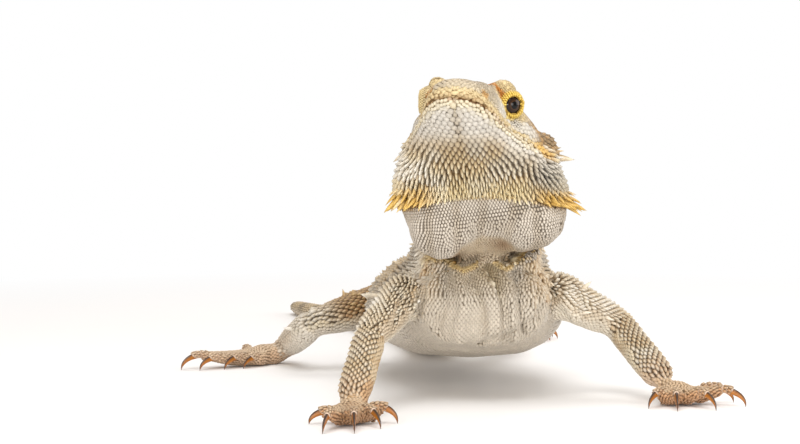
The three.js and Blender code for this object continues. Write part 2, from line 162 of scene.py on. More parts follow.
def cloud(points, size, seed):
    """Smooth random values from 0 to 1 at points, with lumps of about that size in millimetres."""
    where = own(points) / size + 17.3 * (seed + 1)
    cell = np.floor(where).astype(np.int64)
    t = where - cell
    t = t * t * (3 - 2 * t)
    total = np.zeros(len(where))
    for corner in range(8):
        step = np.array([corner & 1, corner >> 1 & 1, corner >> 2 & 1])
        code = (cell + step) @ np.array([73856093, 19349663, 83492791]) + seed * 2654435761
        code = (code ^ (code >> 13)) * 1274126177 & 0x7FFFFFFF
        value = ((code ^ (code >> 16)) & 0xFFFF) / 0xFFFF
        total += value * np.prod(np.where(step, t, 1 - t), axis=1)
    return total


def colour(code):
    """Linear red, green and blue from six hex digits of sRGB."""
    srgb = np.array([int(code[i : i + 2], 16) for i in (0, 2, 4)]) / 255
    return np.where(srgb <= 0.04045, srgb / 12.92, ((srgb + 0.055) / 1.055) ** 2.4)


def mixed(first, second, share):
    """first where the share is 0, second where it is 1."""
    share = np.asarray(share, float)[..., None]
    return first * (1 - share) + second * share


def rows_of(items, name, size, kind=np.float32):
    """The named numbers of a mesh's items, a row for each."""
    flat = np.empty(len(items) * size, kind)
    items.foreach_get(name, flat)
    return flat.reshape(-1, size)


def points_of(mesh):
    return rows_of(mesh.vertices, "co", 3).astype(float)


def normals_of(mesh):
    return rows_of(mesh.vertex_normals, "vector", 3).astype(float)


def edges_of(mesh):
    return rows_of(mesh.edges, "vertices", 2, np.int32)


def set_points(mesh, points):
    mesh.vertices.foreach_set("co", np.ascontiguousarray(points, np.float32).ravel())
    mesh.update()


def over_floor(points, height=0.0):
    """Points in the frame, lifted to a least height over the floor in millimetres."""
    return np.maximum(points, (-np.inf, -np.inf, height * MM))


def evened(values, edges, share, rounds):
    """Values at vertices, drawn towards their neighbours' mean by a share, a number of times."""
    count = len(values)
    degree = np.maximum(np.bincount(edges.ravel(), minlength=count), 1)[:, None]
    values = values.reshape(count, -1).astype(float)
    share = np.broadcast_to(np.asarray(share, float).reshape(-1, 1), (count, 1))
    start, end = edges.T
    for _ in range(rounds):
        total = np.column_stack([
            np.bincount(start, column[end], count) + np.bincount(end, column[start], count)
            for column in values.T
        ])
        values = values + share * (total / degree - values)
    return values


def search_tree(points):
    tree = KDTree(len(points))
    for i, point in enumerate(points.tolist()):
        tree.insert(point, i)
    tree.balance()
    return tree


def edit(piece, operator, chosen=None, **settings):
    """Runs a mesh operator on the chosen vertices of a piece, or on all of it."""
    bpy.ops.object.select_all(action="DESELECT")
    piece.select_set(True)
    bpy.context.view_layer.objects.active = piece
    bpy.ops.object.mode_set(mode="EDIT")
    bpy.ops.mesh.select_mode(type="VERT")
    bpy.ops.mesh.select_all(action="SELECT" if chosen is None else "DESELECT")
    if chosen is not None:
        bpy.ops.object.mode_set(mode="OBJECT")
        piece.data.vertices.foreach_set("select", chosen)
        bpy.ops.object.mode_set(mode="EDIT")
        bpy.ops.mesh.select_mode(type="VERT")
    operator(**settings)
    bpy.ops.object.mode_set(mode="OBJECT")


def bare_surface(nodes):
    """The faces of CAD nodes as one search tree, and each face's node."""
    corners, faces, owners = [], [], []
    for index, name in enumerate(nodes):
        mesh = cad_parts[name].data
        mesh.calc_loop_triangles()
        triangles = rows_of(mesh.loop_triangles, "vertices", 3, np.int32)
        faces.append(triangles + sum(map(len, corners)))
        corners.append(points_of(mesh))
        owners.append(np.full(len(triangles), index))
    tree = BVHTree.FromPolygons(np.concatenate(corners).tolist(), np.concatenate(faces).tolist())
    return tree, np.concatenate(owners)


# ---------------------------------------------------------------- the skin
FLESH = sorted(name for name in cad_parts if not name.startswith(("claw_", "eye_")))
PART_OF = np.array([name.removesuffix("_right").removesuffix("_left") for name in FLESH])
FATTEN = 0.55  # closes the gaps between solids before they are joined
VOXEL = 1.22
SMOOTHING_ROUNDS = 90
LOWEST_SKIN = 0.25  # the skin's least height over the floor
# How far the facets of each part are smoothed out, and how deep its skin lies, in millimetres.
SKIN_OF = {
    "head": (2.4, 0.5), "jaw": (3, 0.45), "beard": (3.6, 0.6), "neck": (5, 0.8), "trunk": (5, 0.75),
    "tail_base": (3.6, 0.6), "tail_middle": (3, 0.55), "tail_end": (2, 0.5), "upper_arm": (2.6, 0.6),
    "forearm": (2, 0.55), "thigh": (2.8, 0.6), "shank": (2, 0.55), "hand": (0.9, 0.4), "foot": (0.9, 0.4),
}


def flesh_block():
    """All the solids of flesh and the eyeballs, joined and remeshed as one closed body."""
    bpy.ops.object.select_all(action="DESELECT")
    for name in FLESH + ["eye_right", "eye_left"]:
        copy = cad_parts[name].copy()
        copy.data = copy.data.copy()
        copy.parent = None
        bpy.context.collection.objects.link(copy)
        copy.select_set(True)
        bpy.context.view_layer.objects.active = copy
    bpy.ops.object.join()
    skin = bpy.context.object
    skin.name = skin.data.name = "skin"
    for key in list(skin.keys()):
        del skin[key]
    edit(skin, bpy.ops.mesh.remove_doubles, threshold=0.01 * MM)
    for kind, settings in (
        ("DISPLACE", {"strength": FATTEN * MM, "mid_level": 0}),
        ("REMESH", {"mode": "VOXEL", "voxel_size": VOXEL * MM}),
    ):
        bpy.ops.object.modifier_add(type=kind)
        modifier = skin.modifiers[-1]
        for setting, value in settings.items():
            setattr(modifier, setting, value)
        bpy.ops.object.modifier_apply(modifier=modifier.name)
    return largest_body(skin)


def largest_body(piece):
    """Drops all but the largest of the loose bodies of a piece."""
    edges = edges_of(piece.data)
    label = np.arange(len(piece.data.vertices))
    while True:
        low = np.minimum(label[edges[:, 0]], label[edges[:, 1]])
        before = label.copy()
        np.minimum.at(label, edges[:, 0], low)
        np.minimum.at(label, edges[:, 1], low)
        label = label[label]
        if np.array_equal(before, label):
            break
    stray = label != np.bincount(label).argmax()
    if stray.any():
        edit(piece, bpy.ops.mesh.delete, stray, type="VERT")
    return piece


def owners_at(points):
    """The index in FLESH of the part that each point lies on."""
    tree, face_owner = SOLIDS
    return face_owner[[tree.find_nearest(p)[2] for p in points.tolist()]]


def depth_below_solids(points):
    """How far each point lies inside the solids, in metres, negative outside."""
    tree, _ = SOLIDS
    depths = np.empty(len(points))
    for i, point in enumerate(points.tolist()):
        near, face_normal, _, distance = tree.find_nearest(point)
        side = (Vector(point) - near).dot(face_normal)
        depths[i] = distance if side < 0 else -distance
    return depths


def settle_skin(mesh):
    """Smooths the facets away and brings the skin to its depth inside the solids."""
    edges = edges_of(mesh)
    points = points_of(mesh)
    smoothing, depth = np.array([SKIN_OF[part] for part in PART_OF])[owners_at(points)].T
    length = evened(smoothing, edges, 0.5, 8)[:, 0]
    share = np.clip(2 * length**2 / (SMOOTHING_ROUNDS * VOXEL**2), 0, 0.9)
    points = evened(points, edges, share, SMOOTHING_ROUNDS)
    set_points(mesh, points)
    for rounds in (24, 10):
        missing = evened(depth * MM - depth_below_solids(points), edges, 0.6, rounds)
        points = points - normals_of(mesh) * missing
        set_points(mesh, points)


def gaze_axes(way):
    """Centre of an eye and its gaze, the direction across it towards the snout, and up, in the head."""
    centre = EYE_AT * [1, way, 1]
    gaze = unit(np.array(GAZES[way]))
    across = unit(np.array([1, 0, 0]) - gaze[0] * gaze)
    up = np.cross(gaze, across)
    return centre, gaze, across, up * np.sign(up[2])


LID_OPENING = (2.7, 2.75)  # half sizes along and up
LID_THICKNESS = 0.55
LID_END = 3.6  # how near the eye's centre the skin ends that is tucked in between lid and eyeball


def around_eye(points, way):
    """Distance from an eye's centre, angle from its gaze, and the place on the lids: 1 along their edge."""
    centre, gaze, across, up = gaze_axes(way)
    offset = in_head(points) - centre
    distance = length_of(offset)
    angle = np.degrees(np.arccos(np.clip(offset @ gaze / np.maximum(distance, 1e-9), -1, 1)))
    on_ball = unit(offset) * EYE_RADIUS
    rim = np.hypot(on_ball @ across / LID_OPENING[0], on_ball @ up / LID_OPENING[1])
    return distance, angle, np.where(angle < 90, rim, 9)


def open_lids(points):
    """Wraps the lids round both eyeballs, with a round opening each."""
    for way in (-1, 1):
        centre, gaze, _, _ = gaze_axes(way)
        centre, gaze = from_head(centre), gaze @ HEAD
        distance, _, rim = around_eye(points, way)
        near = distance < EYE_RADIUS + 5
        # the points next to the edge of the opening are gathered on it
        on_edge = near & (np.abs(rim - 1) < 0.08)
        offset = points - centre
        ahead = (offset @ gaze)[:, None] * gaze
        drawn = centre + ahead + (offset - ahead) / rim[:, None]
        points = np.where(on_edge[:, None], drawn, points)
        distance, angle, rim = around_eye(points, way)
        lid = EYE_RADIUS + LID_THICKNESS * (1 - 0.45 * ramp(1.3, 1.75, rim)) + 0.25 * hump(1.1, 0.09, rim)
        cover = (1 - ramp(100, 118, angle)) * near
        hug = (1 - ramp(46, 74, angle)) * cover
        moved = distance + hug * (lid - distance)
        moved = np.maximum(moved, distance + cover * (lid - distance))
        inward = LID_END + (moved - LID_END) * ramp(0.9, 0.97, rim)
        moved = np.where(near & (rim < 1.3) & ~on_edge, inward, moved)
        points = centre + (points - centre) * (moved / np.maximum(distance, 1e-9))[:, None]
    return points


def mouth_offset(heads):
    """How far above the mouth line each point of the head lies, in millimetres."""
    return heads[:, 2] - along(MOUTH_LINE, heads[:, 0])


def on_one_side(heads):
    """Points of the head, those on its right mirrored to the left."""
    return np.where([False, True, False], np.abs(heads), heads)


def from_nostril(heads):
    return length_of(on_one_side(heads) - NOSTRIL)


def from_ear(heads):
    """The place round the upright ear opening: about 1 at its rim."""
    return np.hypot((heads[:, 0] - EAR[0]) / 1.9, (heads[:, 2] - EAR[1]) / 2.7)


def carve(points, normals):
    """The mouth, nostrils, ears and folds, as moves along the normals in millimetres."""
    heads = in_head(points)
    forward, left, _ = heads.T
    side = np.abs(left)
    mouth = mouth_offset(heads)
    lips = 0.26 * hump(1.15, 0.6, mouth) + 0.2 * hump(-1.1, 0.6, mouth) - 0.7 * hump(0, 0.32, mouth)
    move = ramp(1.5, 6, forward) * lips
    nostril = from_nostril(heads)
    move += 0.22 * hump(1.35, 0.45, nostril) - 1.0 * hump(0, 0.75, nostril)
    ear = from_ear(heads)
    move += ramp(15, 17, side) * (0.3 * hump(1.35, 0.3, ear) - 1.3 * (1 - ramp(0.7, 1.15, ear)))
    # the ridge from the nostril to the brow
    ridge = hump(31.5, 5, forward) * hump(6.5, 3.2, side)
    ridge = np.maximum(ridge, hump(27, 5, forward) * hump(8, 3.4, side))
    move += 1.2 * ridge * ramp(0.25, 0.7, normals @ HEAD[2])
    # the groove under the chin
    chin = ramp(0.35, 0.7, -(normals @ HEAD[2])) * ramp(4, 12, forward)
    move -= chin * 0.6 * hump(0, 0.7, left)
    # loose pleats of the chest under the gular fold
    x, y, z = own(points).T
    front = ramp(0.3, 0.7, -normals[:, 1]) * ramp(50, 44, y) * ramp(9, 17, z)
    front = front * ramp(0.5, -3, z - gular_fold(x))
    pleats = (x - 30) * (1 + 0.35 * ramp(20, 46, z)) + 9 * cloud(points, 16, 3)
    move += front * (1.3 * waves(pleats, 9.5) + 0.35 * np.sin(pleats * 2 * np.pi / 3.7 + 1))
    return points + normals * (move * MM)[:, None]


def gular_fold(x):
    """Height of the fold's edge across the throat, which hangs in two waves between the shoulders."""
    return along([(8, 47), (14, 47.5), (17, 45.6), (20.5, 44), (24, 45.4), (28, 48.6), (31, 46.5), (34, 44.6),
                  (37.5, 46), (41, 48.8), (47, 51)], x)


def collar_depth(x):
    """How far back the edge of the gular fold lies: it sweeps back towards the shoulders."""
    return along([(4, 40), (8, 36.5), (14, 31.5), (20, 28.4), (29, 27.6), (35, 28.4), (40, 31), (46, 34.5),
                  (51, 39)], x)


def pouch_arch(x):
    """Height of the arch between the two lobes of the beard."""
    return along([(14, 45), (16.5, 49), (20, 53), (26, 56), (32, 55.8), (36, 53), (38.5, 49.5),
                  (40.5, 45)], x)


def pouch_waves(points, x):
    """The pouch's upright folds: 1 in their valleys, -1 on their ridges."""
    return waves(x + 3 * cloud(points, 9, 6), 8.5)


def chest_edge(x):
    """Height of the crease between chest and belly."""
    return along([(-6, 18), (5, 18.5), (14, 19), (24, 21), (34, 24.5), (42, 29), (47, 35), (52, 42)], x)


def fold(points, normals):
    """The large folds of the beard and chest: the points moved back and forth, and a little up."""
    part = PART_OF[owners_at(points)]
    beard = part == "beard"
    body = np.isin(part, ("trunk", "neck"))
    x, y, z = own(points).T
    ahead = ramp(0.0, 0.4, -normals[:, 1])
    hanging = beard * ahead * ramp(63, 58, z)
    arch = pouch_arch(x)
    back = hanging * (0.75 * pouch_waves(points, x) - 0.8 * hump(1.2, 1.6, z - arch))
    # between the lobes the skin slopes back under the arch to the gular fold
    down = np.clip((arch - z) / np.maximum(arch - gular_fold(x) - 0.8, 2), 0, 1)
    slope = 12.5 + 2.5 * ramp(24, 33, x) + 14 * down**0.75
    within = beard * ramp(0.3, -0.8, z - arch) * ramp(14, 12, np.abs(x - 27.5)) * ramp(60, 54, z)
    back += within * 0.97 * np.maximum(slope - y, 0)
    # the fold's edge stands before the throat, and the chest before the belly
    breast = body * ahead * ramp(52, 42, y)
    over_fold = z - gular_fold(x)
    collar = body * ramp(-0.5, 0.1, -normals[:, 1]) * ramp(54, 50, y) * ramp(3, 8, x) * ramp(53, 49, x)
    collar = collar * ramp(0.4, -0.5, over_fold) * ramp(33, 40, z)
    back -= collar * np.maximum(y - collar_depth(x), 0)
    edge = 2.4 * ramp(-0.2, 0.6, over_fold) - 1.3 * hump(-0.6, 1.4, over_fold)
    back += breast * ramp(0.5, 4, x) * ramp(52, 46, x) * edge
    below = chest_edge(x) - z
    crease = 1.7 * ramp(-0.8, 1.6, below) - 0.9 * hump(-1.8, 2.2, below)
    back += breast * ramp(-8, 0, x) * ramp(54, 48, x) * crease
    facing = ramp(-0.2, 0.5, -normals[:, 1] - 0.6 * normals[:, 2])
    lift = 1.2 * beard * facing * ramp(54, 47, z) * ramp(17, 21, x) * ramp(40, 37, x)
    return points + np.column_stack([0 * back, back, lift]) * MM


def near_head(points):
    heads = in_head(points)
    return (heads[:, 0] > -9) & (heads[:, 2] > -13)


def near_folds(points):
    x, y, z = own(points).T
    return (y < 38) & (z > 17) & (z < 61) & (np.abs(x - 26) < 25)


def near_eyes_or_mouth(points):
    near_eye = np.minimum(*[around_eye(points, way)[0] for way in (-1, 1)]) < 7.5
    heads = in_head(points)
    return near_eye | (np.abs(mouth_offset(heads)) < 1.6) & (heads[:, 0] > 1)


def near_lid_edges(points):
    return np.minimum(*[np.abs(around_eye(points, way)[2] - 1.0) for way in (-1, 1)]) < 0.3


def make_skin():
    skin = flesh_block()
    mesh = skin.data
    settle_skin(mesh)
    for choose in (near_head, near_folds, near_eyes_or_mouth, near_lid_edges):
        edit(skin, bpy.ops.mesh.subdivide, choose(points_of(mesh)), number_cuts=1)
    points, edges = points_of(mesh), edges_of(mesh)
    points = evened(points, edges, 0.5 * near_head(points), 3)
    set_points(mesh, points)
    points = fold(points, normals_of(mesh))
    set_points(mesh, evened(points, edges, 0.3, 2))
    points = open_lids(carve(points_of(mesh), normals_of(mesh)))
    set_points(mesh, over_floor(points, LOWEST_SKIN))
    mesh.polygons.foreach_set("use_smooth", np.ones(len(mesh.polygons), bool))
    return skin


SOLIDS = bare_surface(FLESH)
skin = make_skin()
SKIN_POINTS, SKIN_NORMALS = points_of(skin.data), normals_of(skin.data)
SKIN_OWNERS = owners_at(SKIN_POINTS)
FACES = [tuple(face.vertices) for face in skin.data.polygons]
FACE_CORNERS = np.array([face[:3] for face in FACES])  # three of each face's corners
FACE_OWNER = SKIN_OWNERS[FACE_CORNERS[:, 0]]
SKIN_TREE = BVHTree.FromPolygons(SKIN_POINTS.tolist(), FACES)


# ---------------------------------------------------------------- where the scales grow
# The kinds of scales and their shapes. Where two sheets meet, the kind that comes first here wins.
SHAPE_OF = {
    "lid": "granule", "lip": "lip", "fold": "toe", "toe": "toe", "chin": "plate", "crown": "plate",
    "throat": "keeled", "pouch": "granule", "paw": "toe", "forearm": "keeled", "shank": "keeled",
    "upper_arm": "keeled", "thigh": "keeled", "chest": "smooth", "belly": "smooth", "tail": "keeled",
    "neck": "keeled", "back": "keeled",
}
KINDS = list(SHAPE_OF)
ROW = 0.866  # distance between the rows of a regular pattern, as a share of the distance in a row


def of_kind(roots, *names):
    return np.isin(roots["kind"], [KINDS.index(name) for name in names])


def face_normals(faces):
    return unit(SKIN_NORMALS[FACE_CORNERS[faces]].mean(1))


def smooth_line(stations, steps=24):
    """A smooth line through stations given in the animal's own millimetres."""
    p = place(stations)
    p = np.vstack([2 * p[0] - p[1], p, 2 * p[-1] - p[-2]])
    t = np.linspace(0, 1, steps, endpoint=False)[:, None]
    pieces = []
    for a, b, c, d in zip(p[:-3], p[1:-2], p[2:-1], p[3:]):
        curve = (c - a) * t + (2 * a - 5 * b + 4 * c - d) * t**2 + (3 * b - a - 3 * c + d) * t**3
        pieces.append(b + 0.5 * curve)
    return np.vstack([*pieces, p[-2]])


def rows_along(line, pitch, caps, reach):
    """Centre, axis and tilt of each row of scales on a line. A cap tips the last rows round a rounded end."""
    run = run_along(line)
    tangents = unit(np.gradient(line, axis=0))
    rows = []
    tilt = caps[0]
    while tilt < 0:
        rows.append((line[0], tangents[0], tilt))
        tilt += pitch(0) / reach
    at = 0.0
    while at <= run[-1]:
        rows.append((between(at, run, line), unit(between(at, run, tangents)), 0.0))
        at += pitch(at / run[-1]) * MM
    tilt = pitch(1) / reach
    while tilt < caps[1]:
        rows.append((line[-1], tangents[-1], tilt))
        tilt += pitch(1) / reach
    return rows


def cast(starts, aims):
    """Distance and face index of the skin from points inside it, along each direction."""
    rays = zip(np.broadcast_to(starts, aims.shape).tolist(), aims.tolist())
    hits = [SKIN_TREE.ray_cast(start, aim) for start, aim in rays]
    far = [np.nan if distance is None else distance for *_, distance in hits]
    return np.array(far), np.array([-1 if face is None else face for _, _, face, _ in hits])


def sheet(name, line, front, owners, pitch, row=1.0, caps=(0, 0), reach=8, lie=1, keep=None):
    """The roots of one sheet of scales: staggered rows round a line, cast out onto the skin.

    `front` is the side where the rows are lined up, `pitch` the distance between neighbours in a row and
    `row` how much longer than in a regular pattern the distance between rows is. `lie` is the way the scales
    point, and `keep` chooses among the roots.
    """
    width_at = pitch if callable(pitch) else lambda share: pitch
    allowed = [FLESH.index(owner) for owner in owners]
    found = [np.empty((0, 11))]
    rows = rows_along(line, lambda share: width_at(share) * ROW * row, caps, reach)
    angles = np.linspace(-np.pi, np.pi, 49)
    for number, (centre, axis, tilt) in enumerate(rows):
        width = width_at(number / max(len(rows) - 1, 1))
        gap = width * ROW * row
        first = unit(front - np.dot(front, axis) * axis)
        second = np.cross(axis, first)

        def directions(turn):
            spoke = np.cos(turn)[:, None] * first + np.sin(turn)[:, None] * second
            return spoke * math.cos(tilt) + axis * math.sin(tilt), spoke

        aim, _ = directions(angles)
        far, _ = cast(centre, aim)
        if np.isnan(far).all():
            continue
        usual = np.nanmedian(far)
        far = np.minimum(np.where(np.isnan(far), usual, far), 2 * usual)
        run = run_along(centre + aim * far[:, None]) / MM
        run -= np.interp(0, angles, run)
        girth = run[-1] - run[0]
        count = max(int(round(girth / width)), 3)
        step = girth / count
        places = (np.arange(count) - count // 2 + 0.5 * (number % 2)) * step
        places = (places - run[0]) % girth + run[0]
        aim, spoke = directions(np.interp(places, run, angles))
        far, faces = cast(centre, aim)
        lies = lie * (axis * math.cos(tilt) - spoke * math.sin(tilt))
        good = (faces >= 0) & np.isin(FACE_OWNER[faces], allowed)
        same = np.full((count, 3), (step, gap, lie * number * gap))
        found.append(np.column_stack([centre + aim * far[:, None], lies, faces, same, places])[good])
    roots = np.concatenate(found)
    if keep is not None:
        normals = SKIN_NORMALS[FACE_CORNERS[roots[:, 6].astype(int), 0]]
        roots = roots[keep(own(roots[:, :3]).T, normals)]
    return name, roots


THROAT_MIDDLE = 26.5  # x of the throat's middle


def fringe_height(x):
    """Height of the lowest row of the throat's spines, which hangs lower at the sides."""
    aside = np.minimum(np.abs(x - THROAT_MIDDLE) / 28, 1)
    return 69.2 - np.where(x < THROAT_MIDDLE, 3.6, 2.6) * aside**2


def throat_level(x, z):
    """Height on the throat, raised on the left, where the smooth plates of the cheek reach lower."""
    return z + 0.45 * np.maximum(x - 29, 0)


def lid_sheet(way):
    """Granules in rings round one eye."""
    centre, gaze, _, up = gaze_axes(way)
    centre = from_head(centre)
    line = np.array([centre, centre + gaze @ HEAD * 0.01 * MM])

    def on_lid(where, normals):
        _, angle, rim = around_eye(place(where.T), way)
        return (rim > 1.06) & (angle < 66)

    return sheet("lid", line, up @ HEAD, ("head",), 0.8, caps=(0, 1.0), reach=5.3, lie=-1, keep=on_lid)


def lip_rows():
    """The long plates along both lips, with one broad plate at the front of each."""
    back, high = 8, 1.35  # the rays' start, forward in the head, and the plates' height
    turns = np.radians(np.linspace(-150, 150, 301))
    aims = np.stack([np.cos(turns), np.sin(turns), 0 * turns], -1)
    found = []
    for number, offset in enumerate((0.98, -0.98)):
        forward = np.full(len(turns), 30.0)
        for _ in range(2):
            up = along(MOUTH_LINE, forward) + offset
            starts = from_head(np.column_stack([back + 0 * up, 0 * up, up]))
            reach, faces = cast(starts, aims @ HEAD)
            reach = np.where(np.isnan(reach), np.nanmedian(reach), reach)
            forward = back + reach / MM * np.cos(turns)
        outline = starts + (aims @ HEAD) * reach[:, None]
        run = run_along(outline) / MM
        run -= np.interp(0, turns, run)
        for way in (-1, 1):
            for step, at in enumerate(np.concatenate([[0], np.arange(2.45, 60, 1.75)])):
                i = np.abs(run - way * at).argmin()
                if (step == 0 and way < 0) or forward[i] < 3.5 or faces[i] < 0:
                    continue
                ahead = outline[min(i + 1, 300)] - outline[max(i - 1, 0)]
                lie, length, width, spot = way * unit(ahead), 1.75, high, outline[i]
                if step == 0:
                    lie, length, width = -np.sign(offset) * HEAD[2], 2.2 - 0.6 * offset, 3.4
                    spot = spot + HEAD[2] * (0.15 + 0.45 * offset) * MM
                found.append((*spot, *lie, faces[i], width, length / 1.5, way * at, 3 * number))
    return "lip", np.array(found)


def fold_rim():
    """Two rows of small pale scales along the edge of the gular fold."""
    found = []
    for number, (below, start) in enumerate(((0.3, 7.0), (1.0, 7.4))):
        for x in np.arange(start, 50, 0.8):
            origin = place((x, collar_depth(x) - 3, gular_fold(x) - below))
            spot, _, face, distance = SKIN_TREE.ray_cast(origin, (0, 1, 0))
            if spot is None or distance > 7 * MM:
                continue
            slope = float(gular_fold(x + 0.6) - gular_fold(x - 0.6)) / 1.2
            lie = unit(np.array([slope, -0.5, 1.0 - 2 * number]))
            found.append((*spot, *lie, face, 0.85, 0.8, x, 9 + number))
    return "fold", np.array(found)


# Distance between the neighbours in a row, on the outer and on the inner side of a limb.
LIMB_PITCH = {"upper_arm": (1.6, 1.2), "forearm": (1.9, 1.3), "thigh": (2.1, 1.5), "shank": (2.0, 1.4)}


def limb_sheets():
    """The legs, paws and toes of both sides."""
    sheets = []
    for s, side in enumerate(SIDES):
        for kind, names in (("hand", LIMB_PARTS[:2]), ("foot", LIMB_PARTS[2:])):
            sheets += digit_sheets(kind, s)
            root, bend, end, palm = np.array(PAWS[kind][s], float)
            outward = np.array([(-0.62, 0.62)[s], -0.1, 0.78])
            for (near, far), part in zip(((root, bend), (bend, end)), names):
                line = smooth_line([near, (near + far) / 2, far], 12)
                for inner, row in ((False, 0.86), (True, 1.0)):
                    pitch = LIMB_PITCH[part][inner]
                    on_side = lambda p, n: (n @ outward <= -0.12) == inner
                    sheets.append(sheet(part, line, outward, (f"{part}_{side}",), pitch, row, (-0.5, 0.9), 6,
                                        keep=on_side))
            turn = math.radians(PAW_HEADINGS[kind][s])
            ahead = np.array([math.sin(turn), -math.cos(turn), 0])
            line = smooth_line([end, palm - ahead, palm + 3 * ahead + (0, 0, 0.4)], 8)
            sheets.append(sheet("paw", line, (0, 0, 1), (f"{kind}_{side}",), 1.3, 1.05, (-0.6, 1.3), 5))
    return sheets


def digit_sheets(kind, s):
    """The toes of one paw, each between the paw and its claw."""
    side = SIDES[s]
    palm = np.array(PAWS[kind][s][3], float)
    sheets = []
    for number in range(1, 6):
        base = own(claw_ends(f"claw_{kind}_{side}_{number}")[0])
        inward = unit((palm - base) * (1, 1, 0))
        tip = base + inward * 2.2
        start = palm - inward * 4.5
        start[2] = 3.6
        if length_of(tip - start) < 2:
            start = tip + inward * 2
        line = smooth_line([start, (start + tip) / 2 - (0, 0, 0.2), tip - (0, 0, 0.3)], 8)
        sheets.append(sheet("toe", line, (0, 0, 1), (f"{kind}_{side}",), 1.1, 1.15, (0, 1.1), 2.1))
    return sheets


def claw_ends(node):
    """The middle of a claw's base and its tip, from its CAD node."""
    points = points_of(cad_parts[node].data)
    kind, side = node.split("_")[1:3]
    palm = place(PAWS[kind][SIDES.index(side)][3])
    away = length_of((points - palm)[:, :2])
    return points[away < away.min() + 0.9 * MM].mean(0), points[away.argmax()]


def all_sheets():
    """Every sheet of scales. What they keep depends on x, y and z in the animal's own axes and on normals."""
    owners = lambda *parts: [name for name, part in zip(FLESH, PART_OF) if part in parts]
    body = smooth_line(AXES["trunk"])
    chest = smooth_line([(27, 44, 46), (27, 43, 38), (27, 42, 31)])
    recess = smooth_line([(27, 34, 60), (27, 38, 40)])
    throat = smooth_line(AXES["beard"])
    head = smooth_line([HEAD_ORIGIN + f * HEAD[0] + u * HEAD[2]
                        for f, u in ((-14, 3), (0, 2), (14, 2), (26, 1.4), (38, 0.6))])
    facing = lambda n: n[:, 1] < -0.42
    over_fringe = lambda p: p[2] > fringe_height(p[0])
    return [
        lid_sheet(-1),
        lid_sheet(1),
        lip_rows(),
        fold_rim(),
        sheet("chin", head, -HEAD[2], owners("jaw", "beard"), lambda t: 1.7 + 0.45 * t, 0.95, (-0.3, 1.4), 7,
              -1, keep=lambda p, n: p[2] > 75),
        sheet("crown", head, HEAD[2], owners("head"), lambda t: 1.85 - 0.45 * t, 1.0, (-1.0, 1.5), 8, -1),
        sheet("throat", throat, (0, -1, 0), owners("beard", "jaw"), 1.7, 1.1,
              keep=lambda p, n: over_fringe(p) & (p[2] < 84)),
        sheet("pouch", throat, (0, -1, 0), owners("beard"), 1.02, 1.0, (0, 1.3), 16,
              keep=lambda p, n: ~over_fringe(p)),
        sheet("neck", smooth_line(AXES["neck"]), (0, 1, 0.6), owners("neck"), 1.8, 1.1, (0, 0.4), 25,
              keep=lambda p, n: p[2] > 30),
        sheet("chest", chest, (0, -1, 0), owners("trunk", "neck"), 1.36, 1.0, (-0.6, 1.3), 27,
              keep=lambda p, n: (p[1] < 50) & (n[:, 1] < -0.25) & (p[2] < gular_fold(p[0]) + 0.5)),
        sheet("pouch", recess, (0, -1, 0), owners("trunk", "neck"), 1.1,
              keep=lambda p, n: (p[1] < 46) & (np.abs(p[0] - 28) < 13) & (n[:, 1] < -0.25)),
        sheet("belly", body, (0, 0, -1), owners("trunk"), 1.6, 1.05, (0, 0), 12,
              keep=lambda p, n: ~facing(n) & (n[:, 2] < -0.12)),
        sheet("back", body, (0, 0, 1), owners("trunk"), 2.0, 1.1, (-1.2, 0), 14,
              keep=lambda p, n: ~facing(n) & (n[:, 2] >= -0.12)),
        sheet("tail", smooth_line(AXES["tail"]), (0, 0, 1), owners(*TAIL_PARTS), lambda t: 2.1 - 0.7 * t, 1.2,
              (0, 1.3), 3),
        *limb_sheets(),
    ]


def gather(sheets):
    """All roots in one set of arrays, without those that crowd a sheet that comes before theirs."""
    order = sorted(range(len(sheets)), key=lambda i: KINDS.index(sheets[i][0]))
    data = np.vstack([sheets[i][1] for i in order])
    sizes = [len(sheets[i][1]) for i in order]
    kind = np.repeat([KINDS.index(sheets[i][0]) for i in order], sizes)
    which = np.repeat(order, sizes)
    tree = search_tree(data[:, :3])
    width = data[:, 7]
    kept = np.zeros(len(data), bool)
    for i, point in enumerate(data[:, :3].tolist()):
        kept[i] = not any(
            distance < (0.45 * width[i] if which[j] == which[i] else 0.62 * (width[i] + width[j]) / 2) * MM
            for _, j, distance in tree.find_range(point, 0.7 * width[i] * MM)
            if j < i and kept[j]
        )
    data = data[kept]
    return {
        "point": data[:, :3], "lie": data[:, 3:6], "width": data[:, 7], "row": data[:, 8],
        "strip": data[:, 9:11], "kind": kind[kept], "which": which[kept],
    }


def bare_spot(points):
    """Whether no scales grow at these points: on the eyes and in the nostrils, ears and mouth."""
    heads = in_head(points)
    hole = from_nostril(heads) < 0.9
    hole |= (np.abs(mouth_offset(heads)) < 0.35) & (heads[:, 0] > 3)
    hole |= (from_ear(heads) < 0.95) & (np.abs(heads[:, 1]) > 15)
    for way in (-1, 1):
        distance, _, rim = around_eye(points, way)
        hole |= (rim < 1.04) & (distance < EYE_RADIUS + 1.2)
    return hole


BARE = 0.68  # skin further than this from its nearest root is bare, as a share of the scales' width
FILL_ROUNDS, SETTLE_ROUNDS = 3, 3
NEIGHBOURS = 7  # of a root, itself among them


def joined(roots, more):
    return {name: np.concatenate([values, more[name]]) for name, values in roots.items()}


